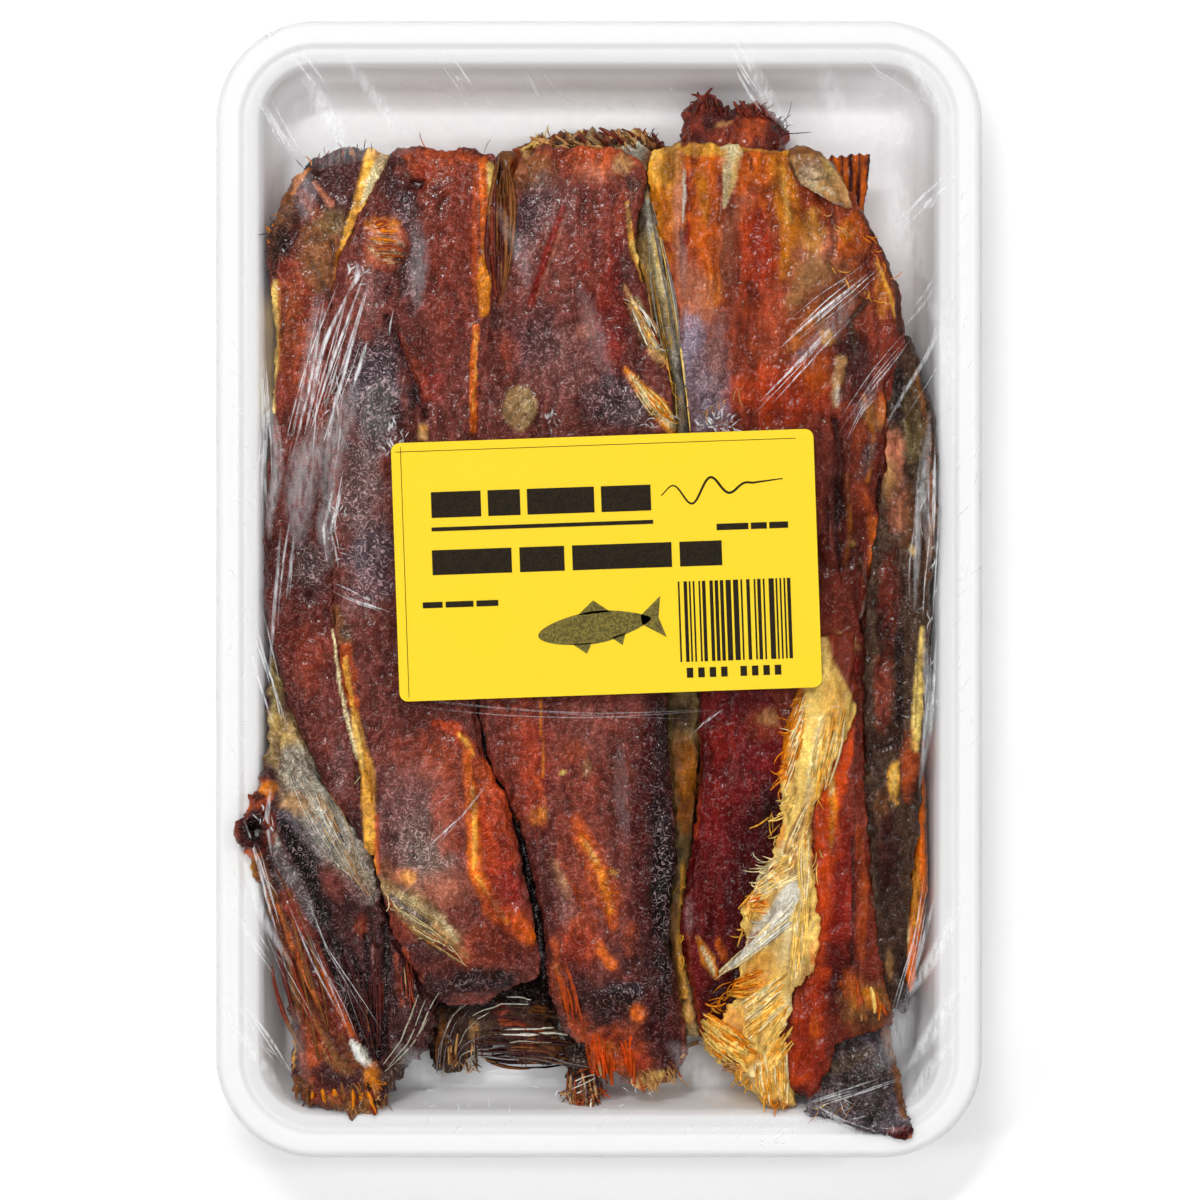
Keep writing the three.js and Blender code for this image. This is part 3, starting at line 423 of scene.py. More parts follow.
STROKES["second_slab"] = [
    ("redbrown", -30, 66, 7, 17, 0.75), ("plum", -41, 82, 3.4, 7, 0.8, 20),
    ("rust", [(-39, 87.8), (-31, 87.4), (-23, 86.6)], [2, 3, 2], 0.9), ("brick", -33, 83.4, 6, 4.6, 0.9),
    ("rust", -34, 85.6, 4, 2, 0.5), ("redbrown", -27.4, 78, 3.4, 8, 0.6), ("slate", -38, 68, 2.6, 11, 0.5, 4),
    # the mauve spot at (-46, 60) is a painted glint of the film
    ("mauve", -37.4, 66, 1.6, 8, 0.4, 4), ("mauve", -46, 60, 2.4, 6, 0.35),
    ("blood", -36.6, 82, 1.6, 1.2, 1, 0, 0.25, -1.6), ("garnet", -34.6, 84.4, 2, 1.6, 0.4),
    ("brick", -43, 69.8, 4.8, 5.6, 1, 10, 0.08, 0.3, 0.08), ("amber", -43.6, 73.4, 3.4, 1.6, 0.75, 0, 0.3),
    ("salmon", -43.4, 69.4, 3.8, 4, 0.85, 0, 0.5), ("bark", -39.4, 66.6, 1.6, 2.6, 0.6, 30, 0.45, -0.3),
    ("cream", [(-46.4, 69), (-44, 66.8), (-41.6, 65.6)], 0.6, 0.5, 0.4, 0.35, 0.1),
    ("cream", [(-45.4, 70.6), (-42.6, 68.6), (-39.8, 67.4)], 0.6, 0.5, 0.4, 0.35, 0.1),
    ("cream", [(-44.6, 72), (-42, 70.4), (-39.2, 69.4)], 0.5, 0.5, 0.4, 0.3, 0.1),
    ("mahogany", [(-45.8, 70.2), (-43, 67.8), (-40.4, 66.4)], 0.4, 0.6, 0.4, -0.2, 0.1),
    ("mahogany", [(-44.8, 71.6), (-42.2, 69.6), (-39.4, 68.4)], 0.4, 0.6, 0.4, -0.2, 0.1),
    ("slate", -45, 40, 5.4, 10, 0.85, -8), ("pewter", -44.4, 36, 3.6, 6, 0.6, -8), ("soot", -48.6, 48, 1.6, 4, 0.5),
    ("soot", -40, 33, 1.2, 6, 0.5, 10), ("pewter", -48, 20, 4.4, 12, 0.45), ("slate", -46, 5, 4.6, 8, 0.7),
    ("mauve", -48, -1, 3.6, 5, 0.35),
    ("blood", [(-43, 55), (-40, 48.5), (-37.2, 42), (-35, 35)], [0.9, 1.5, 1.5, 1.2], 0.95, 0.4, -0.9),
    ("brick", [(-40.6, 52), (-37, 45), (-34.6, 39)], [0.8, 2, 2.4], 0.75, 0.5, 0.3),
    ("garnet", -34, 41, 2.4, 3.6, 0.5), ("soot", -37.6, 39, 1.1, 2.6, 0.8, 0, 0.45, -0.4),
    ("tan", -35.5, 31.5, 1.1, 1.8, 1, 0, 0.2, 0.4), ("gold", -35.3, 32.4, 0.8, 0.8, 0.7, 0, 0.45, 0.2),
    ("orange", [(-23.4, 86.4), (-23.2, 78), (-23, 70)], [1.8, 1.8, 1.6], 1, 0.2, 0.2, 0.1),
    ("straw", [(-22, 85.6), (-21.6, 79), (-21.8, 70)], [1.5, 1.3, 1.1], 1, 0.2, 0.3, 0.1),
    ("amber", [(-22.7, 69.6), (-23.3, 62), (-23.2, 56)], [2.4, 2.8, 2.2], 0.95, 0.3, 0.2),
    ("rust", [(-24.8, 84), (-25, 72), (-25, 58)], 1.2, 0.7),
    ("orange", [(-24.8, 53), (-25.4, 43), (-25.2, 32)], [1.3, 1.7, 1.4], 1, 0.2, 0.2),
    ("gold", [(-24.9, 52), (-24.8, 44), (-25.4, 36)], 0.5, 0.6, 0.4), ("mahogany", -34, -27, 7, 7, 0.6),
    ("purple", -44, -26, 3.5, 8, 0.6), ("brick", -36, -34, 7, 4.6, 0.75, 20), ("rust", -33, -36, 4, 3.4, 0.5, 20),
    ("mauve", -37.6, -48, 7.6, 11, 0.65, 0, 0.75), ("silver", -35.6, -53, 4.6, 5.6, 0.35, 0, 0.8),
    ("brick", -30, -46, 4, 8, 0.7), ("salmon", -31, -60, 6, 3.4, 0.4),
    ("ember", [(-33, -27), (-29, -28), (-26, -32)], [1.5, 2.4, 2], 0.7),
    ("gold", [(-28.4, -29), (-26.6, -31), (-25.4, -33.4)], [0.7, 1.2, 0.8], 0.95, 0.3, 0.4),
    ("ember", -21.6, -48, 3.8, 13, 0.9, 10), ("brick", -20, -47, 2.4, 8, 0.6, 10),
    ("garnet", -18.4, -56, 1.6, 8, 0.5, 10), ("rust", -23.4, -38, 2, 4, 0.7),
    ("orange", [(-26.6, -33), (-25.4, -45), (-25, -57), (-20, -65), (-14.5, -70.5)], [1.8, 2.6, 2.8, 5, 4], 1, 0.4,
     0.7),
    ("gold", [(-25.5, -40), (-25, -48), (-25.2, -56)], [0.7, 1, 0.9], 0.85, 0.4, 0.3),
    ("gold", [(-24.6, -58), (-21.4, -63), (-18.4, -67.6)], [0.7, 1.1, 0.7], 0.7, 0.4, 0.3),
    ("ember", -17, -68, 3.4, 3.4, 0.5), ("salmon", -39, -58, 2.6, 2.0, 0.95, 0, 0.2, 0.4),
    ("gold", -38.4, -58.2, 1.6, 1.4, 0.5), ("tobacco", -43, -57, 1.4, 3, 0.6),
    ("sand", [(-43.8, -60), (-37, -64.6), (-30, -71), (-27.5, -74)], [2.5, 6, 5, 2.4], 0.85, 0.75, 0, 0.6),
    ("pewter", [(-42, -62), (-37, -66), (-34, -69)], [1, 2.6, 1.4], 0.7),
    ("cream", [(-40, -61.6), (-33, -66), (-29, -71)], [1.2, 1.9, 1.5], 0.5, 0.8, 0, 0.8),
    ("tan", [(-33, -68), (-28, -73)], 1.6, 0.8), ("rust", [(-33, -70.6), (-29.5, -74), (-26.4, -76)], 1.8, 0.8),
    ("redbrown", -41, -69, 3, 5, 0.8, 35), ("plum", -36, -73.6, 8, 2.6, 0.85), ("mahogany", -30, -77, 7, 2.4, 0.8),
    ("soot", -24, -79, 8, 3, 0.9), ("brick", -22.6, -72, 5, 4.4, 0.7), ("redbrown", -17, -73, 4, 3, 0.7),
    ("brick", [(-39.5, -73), (-38, -80), (-37, -88)], [1.4, 2.4, 1.4], 0.9, 0.4, 0.5),
    ("rust", [(-40, -73), (-38.6, -79)], 0.9, 0.8, 0.5, 0.3), ("soot", -33, -82, 3.4, 4, 0.8),
    ("garnet", -19.6, -62, 4, 6, 0.75), ("blood", -20.4, -72, 4, 3.6, 0.6), *SEAM_FAT,
]
STROKES["third_slab"] = [
    ("redbrown", 2, 66, 7, 18, 0.6), ("brick", -6, 86, 13, 4.4, 0.75), ("rust", 0, 87, 8, 3, 0.8),
    ("salmon", -1, 84, 3.6, 2, 0.4), ("tan", 4.6, 85.6, 1.8, 2, 0.8), ("bark", 7, 81.5, 1.6, 2, 0.7),
    ("tobacco", -13, 84, 4, 4, 0.8), ("tobacco", [(-18, 84), (-18.6, 76), (-19.4, 66)], [4, 3.4, 2], 0.6),
    ("slate", -14, 76, 3, 8, 0.5, -25), ("mauve", -9, 77, 3.4, 6, 0.35), ("mauve", -15, 68, 2.6, 6, 0.35),
    ("brick", 4.6, 76, 1.6, 6, 0.6),
    # a dark red groove, with a painted highlight along its left edge in salmon
    ("garnet", [(-7.4, 77), (-10.4, 68), (-14, 57)], [0.8, 1.4, 1], 0.85, 0.4, -0.8),
    ("salmon", [(-6.4, 76), (-9.2, 68), (-12.6, 59)], [0.4, 0.7, 0.5], 0.4, 0.4, 0.2),
    ("mahogany", 5, 56, 3.4, 15, 0.9, -6), ("blood", 6.4, 49, 2, 6, 0.45, 20), ("garnet", 3, 66, 1.6, 6, 0.5),
    ("slate", -13, 50, 5, 6, 0.3), ("mauve", -5, 47, 7, 9, 0.3, 0, 0.7), ("salmon", -3, 52, 1.6, 1.6, 0.25),
    ("slate", 4, 38, 6, 5, 0.5), ("pewter", 5, 36, 4, 3, 0.4), ("mahogany", -20, 50, 2.4, 7, 0.7),
    ("brick", -18, 48, 2, 3, 0.5), ("soot", -20.4, 55, 1.4, 3, 0.5), ("garnet", -3, 65, 0.8, 1.2, 0.6),
    ("sand", -16, 36.4, 3.4, 4.4, 1, 0, 0.12, 0.15, 0.12), ("tobacco", -16.4, 37, 3.2, 4, 0.5),
    ("soot", -14.8, 36.8, 1.5, 1.7, 0.5, 0, 0.12, 0, 0.05), ("sand", -14.8, 36.8, 1.2, 1.4, 1, 0, 0.12, 0, 0.05),
    ("soot", -15.2, 38, 0.3, 0.3, 0.9), ("soot", -17, 35.4, 0.25, 0.3, 0.9), ("soot", -16.3, 32.8, 0.3, 0.3, 0.9),
    ("gold", [(5.6, 78), (6.2, 73), (7, 68), (9, 63)], [0.7, 1, 1.4, 1.2], 0.9, 0.3, 0.2),
    ("straw", [(6.6, 70), (8.4, 65)], 0.9, 0.9), ("bark", 6, 75, 0.7, 3, 0.6),
    ("tan", [(5.2, 61), (7.4, 56), (9.4, 51.6), (12.4, 46.6)], [0.6, 2, 3, 2.4], 0.95, 0.2, 0.3, 0.15),
    ("straw", [(6.4, 59), (8, 55), (10, 51), (12.8, 47)], [0.4, 0.9, 1.2, 0.9], 0.9, 0.3, 0.2, 0.15),
    ("olive", [(7.6, 58.6), (10, 54), (12.4, 50)], [0.7, 1.5, 1], 0.8),
    ("bark", [(4.6, 60.4), (6.6, 54.4), (9.4, 48.6)], 0.8, 0.8, 0.4, -0.5),
    ("amber", [(5.2, 44.4), (8, 41), (11.4, 37), (14.8, 33)], [0.9, 2.4, 3.6, 3.6], 1, 0.2, 0.3, 0.15),
    ("cream", [(6.4, 43), (9, 40), (12.2, 36.4), (15, 33.4)], [0.6, 1.5, 2.3, 2.5], 0.95, 0.3, 0.2, 0.15),
    ("bark", [(7.6, 41.6), (10.4, 38.2), (12.6, 35)], 0.35, 0.5, 0.4, -0.2), ("brick", 1, -36, 10, 14, 0.5),
    ("redbrown", -17, -32, 4.6, 12, 0.9), ("brick", -15, -34, 2.4, 10, 0.7), ("rust", -13.4, -36, 1.4, 6, 0.5),
    ("amber", [(-12, -22), (-11.5, -30), (-11.1, -38)], 0.5, 0.85, 0.35, 0.15),
    ("amber", -12, -45.6, 1.8, 2, 0.75, 0, 0.45, 0.6), ("rust", [(-12.2, -38), (-11.4, -43)], 1.6, 0.7),
    ("mauve", -2, -30, 5, 6, 0.2), ("plum", 5, -40, 5, 14, 0.5), ("tan", -2.6, -36, 0.9, 1.6, 0.5),
    ("rust", -5, -33, 2.4, 2.4, 0.5), ("straw", -7.3, -37, 0.5, 0.4, 1), ("brick", -6, -60, 5, 13, 0.6, 14),
    ("rust", [(-4.6, -47), (-0.6, -56), (2, -63), (3, -68)], [3, 5, 4.8, 2], 0.95, 0.5, 0.5),
    ("amber", [(-3.6, -50), (0.4, -57), (2.4, -65)], [1, 2, 1.4], 0.65, 0.5, 0.3),
    ("straw", [(-2.6, -51), (-0.4, -55)], 0.5, 0.5), ("gold", 2.9, -57, 0.9, 0.5, 0.7, -30),
    ("mauve", -8, -61, 2.4, 8, 0.45, 25), ("tan", -8, -58, 1.2, 4, 0.4, 25),
    ("orange", [(-0.4, -71.6), (2.6, -76)], [2.2, 2], 0.85, 0.4, 0.5), ("rust", -4, -71, 3.4, 4, 0.6),
    ("rust", 7, -71, 2, 4, 0.5), ("rust", [(-9, -71), (-8, -80), (-4, -88)], [2, 3.4, 3], 0.85, 0.4),
    ("amber", [(-8.6, -76), (-6.6, -84)], 0.9, 0.6), ("blood", 9.6, -56, 3.4, 32, 0.85),
    ("soot", 12.6, -52, 2.6, 26, 0.9), ("soot", 14, -66, 2.4, 20, 0.85), ("plum", 9, -74, 3.4, 5, 0.5),
    ("soot", 1, -83, 8.5, 4.4, 0.85, 0, 0.45, -0.4), ("slate", 5, -80.6, 4, 1.4, 0.5),
    ("plum", -4, -80, 3, 1.6, 0.6), ("orange", 8, -85.6, 1.7, 2.2, 0.95, 0, 0.45, 0.8),
    ("blood", 12, -88, 4, 6, 0.8), ("rust", 2, -94, 7.5, 5.4, 1), ("orange", 3, -97.4, 5.6, 3, 0.35),
    ("garnet", 3, -93, 5, 3, 0.4), ("amber", 1, -93, 2.6, 1.4, 0.5), ("mahogany", 6, -91, 2.4, 1.8, 0.5),
    ("garnet", 8, -96, 2, 2, 0.6), ("blood", -11.6, -60, 3.2, 13, 0.7), ("blood", 12.2, -31, 3, 10, 1),
    ("soot", 12.8, -31, 1.6, 9, 0.7), ("garnet", -13, -36, 3, 12, 0.4), ("blood", -6, -78, 4, 4, 0.5),
    ("garnet", -4, -72, 4, 4, 0.5), ("garnet", 2.6, 54, 3, 9, 0.5), ("tobacco", 12, -99.4, 4.6, 2, 0.9),
    ("straw", 11, -98.6, 2.6, 0.9, 0.7, 25), ("tan", 7, -100.4, 5, 1.2, 0.8), ("blood", 14.6, -93, 3, 5, 0.9),
]
STROKES["folded_slab"] = [
    ("olive", [(-65.5, -12), (-65, -24), (-64, -32)], [1.4, 3, 6], 0.95), ("sand", -62.4, -33, 4, 8, 0.95, 20),
    ("straw", -63.6, -30, 1.4, 5, 0.3, 20),
    ("silver", [(-61.6, -34), (-57, -44), (-51, -54), (-46.6, -62)], [6, 9.4, 8, 3], 1),
    ("ivory", [(-60, -38), (-56, -46), (-51, -54)], [2, 3.4, 2], 0.45), ("tan", -61.4, -43, 3, 2.6, 0.8),
    ("pewter", -56, -50, 5, 4.4, 0.8, 35), ("slate", -62, -47.6, 2, 4, 0.85, 30),
    ("sand", [(-49.6, -54), (-46.6, -61)], [2, 2.4], 0.5),
    ("soot", [(-64, -47), (-60, -54), (-56.6, -62), (-53, -69), (-48, -80), (-44.8, -94)], [2, 4.4, 5, 4.4, 3, 1.6],
     1, 0.4, -0.5, 0.2),
    # painted sheen in pewter along the dark band's left side, and a painted glint in ivory on the tube's rim
    ("pewter", [(-66, -51), (-63.4, -57), (-60, -63), (-58, -67)], [2.4, 3.8, 3, 1.2], 0.9),
    ("slate", [(-61, -60), (-57.6, -68)], [2, 1.2], 0.7), ("ivory", -65.6, -50, 0.9, 2, 0.5, 30),
    ("plum", -50, -66, 4.4, 9, 0.9, 24), ("bark", [(-61, -60), (-60.4, -73)], 4, 0.5),
    ("purple", -53, -58.6, 2.6, 4, 0.7, 30), ("brick", -48, -68, 1.4, 2, 0.6), ("mauve", -49, -60, 2, 4, 0.5, 30),
    ("tobacco", [(-69.5, -55), (-66.5, -66), (-62.4, -77), (-57, -88), (-51, -97)], [4, 5, 5.4, 5.4, 4], 1, 0.35, 0,
     0.15),
    ("gold", [(-70.4, -55), (-68.6, -62), (-66, -70.4), (-63.8, -79), (-62.4, -88), (-62, -97)],
     [1, 1.2, 1, 1.1, 1.4, 0.9], 0.95, 0.3, 0, 0.15),
    ("redbrown", [(-63, -62), (-58, -74), (-52.6, -86), (-48, -95)], [3.4, 5, 6, 4], 0.85, 0.4, 0, 0.2),
    ("mahogany", [(-66.4, -62), (-62.4, -74), (-57, -86), (-52, -94)], [0.6, 0.9, 1.2, 0.8], 0.9, 0.4, -0.5, 0.15),
    ("orange", [(-57, -75), (-54, -82), (-50, -90)], [0.8, 1, 1.2], 0.7, 0.5, 0.4, 0.15),
    ("orange", [(-65, -64), (-61, -74), (-56.6, -84)], [0.9, 1.1, 0.9], 0.5, 0.5, 0.3),
    ("soot", [(-56, -72), (-51, -83), (-46, -95)], [0.9, 1.6, 1.4], 0.95, 0.4, -0.7, 0.15),
    ("blood", [(-52, -74), (-48.6, -84), (-45.6, -95)], [1.6, 2, 1], 0.9),
    ("plum", [(-51, -74), (-48.4, -82), (-45.6, -92)], [1.4, 1.8, 0.8], 0.7, 0.5, 0.5),
    ("soot", [(-47, -70), (-46.4, -82), (-44.6, -95)], [1, 1.4, 1], 0.9, 0.4, -0.7, 0.15),
    ("plum", [(-45, -66), (-44.6, -80), (-44, -92)], [2, 2.4, 1], 0.8, 0.5, 0.4),
    # a painted highlight on a fold's ridge
    ("mauve", [(-45.8, -72), (-45.2, -82)], 0.6, 0.6, 0.5, 0.2),
    ("soot", [(-43, -68), (-42.6, -80), (-43.8, -94)], [1.4, 1.8, 1.2], 0.85, 0.5, -0.5),
    ("plum", [(-41, -76), (-41, -86), (-43, -94)], [2, 2.4, 1.2], 0.7, 0.5, 0.3),
    ("brick", [(-41, -74), (-40, -84)], 0.9, 0.6),
    # a painted glare: a pale sliver where the film shines
    ("ivory", [(-50, -91.5), (-48, -94), (-46, -96.6)], [0.8, 2.8, 0.6], 1, 0.2, 0, 0.1),
    ("tobacco", [(-52, -90), (-49.4, -95.6), (-46, -97.6)], 0.8, 0.8), ("mahogany", -54, -101, 8, 3.6, 0.85),
    ("rust", -58.6, -93, 2.4, 5, 0.7), ("amber", -46, -99, 1.7, 3, 0.75), ("tobacco", -47, -104.5, 7, 1.8, 0.8),
    ("bark", -40.5, -99, 3, 4, 0.85), ("soot", -52, -99.4, 5, 1.2, 0.6, -15), ("tan", -45, -106, 3.4, 1, 0.8),
    ("tobacco", -60.5, -101, 2.4, 2.4, 0.7), ("rust", -56, -103, 4, 1.4, 0.6),
    ("rust", -69, -41.6, 3.4, 3, 1, 0, 0.3), ("amber", -67, -40.4, 2, 1.4, 0.7),
    ("blood", -68.6, -42, 1.5, 1.1, 0.9), ("orange", -70.8, -44.6, 1.4, 1.6, 0.9),
    ("brick", -69.8, -48.6, 4.2, 5, 0.8, 0, 0.3), ("blood", -69.8, -48.6, 3.0, 3.8, 1, 0, 0.2),
    ("soot", -69.6, -48.4, 2.0, 2.8, 0.8), ("orange", -70.6, -53.4, 2, 0.9, 0.8),
]
STROKES["skin_strip"] = [
    ("pewter", 6.4, 86, 2, 3.4, 1), ("ivory", 7.2, 84.6, 0.9, 2, 0.6), ("slate", 8.2, 80, 1.4, 3, 0.7),
    ("silver", [(9.6, 78), (11.6, 68), (13.4, 58), (15.2, 48), (16.8, 38), (17.6, 32)],
     [1.6, 2.4, 2.6, 2.4, 2.2, 2], 1, 0.4, 0.2),
    ("straw", [(10.8, 72), (12.8, 60), (14.6, 50)], [0.7, 1.1, 0.8], 0.7),
    ("olive", [(8.6, 76), (10, 68), (11.8, 58), (14, 47), (15.6, 38)], [1, 1.4, 1.3, 1.2, 1], 0.8, 0.4, -0.2),
    ("slate", 9, 74, 0.9, 3, 0.6, -10), ("gold", [(7.2, 68), (9.4, 62), (11, 56)], [1, 1.5, 1], 0.8),
    ("ivory", [(12.2, 66), (13.8, 56), (15.6, 46)], 0.45, 0.7), ("sand", 15, 36, 2.4, 4, 0.7),
    ("bark", 17, -26, 3, 4, 0.85), ("tobacco", 17.6, -38, 3.4, 9, 1), ("amber", 18, -38, 2, 6, 0.55),
    ("tobacco", 16, -33, 1.4, 4, 0.6), ("amber", 17.4, -47, 1.6, 3, 0.6), ("soot", 13.8, -55, 2.4, 10, 0.95),
    ("gold", [(17.2, -56), (16.6, -66), (16, -73), (17.4, -83), (18, -87)], [0.9, 0.9, 1.2, 1.4, 2], 0.9),
    ("tobacco", [(15.4, -64), (15, -72), (16.4, -82)], 1, 0.8), ("soot", [(14, -62), (14, -74)], 1, 0.7),
    ("tan", 18, -85.6, 1.8, 2.4, 0.7), ("soot", 17.4, -83.4, 0.45, 0.35, 1),
]
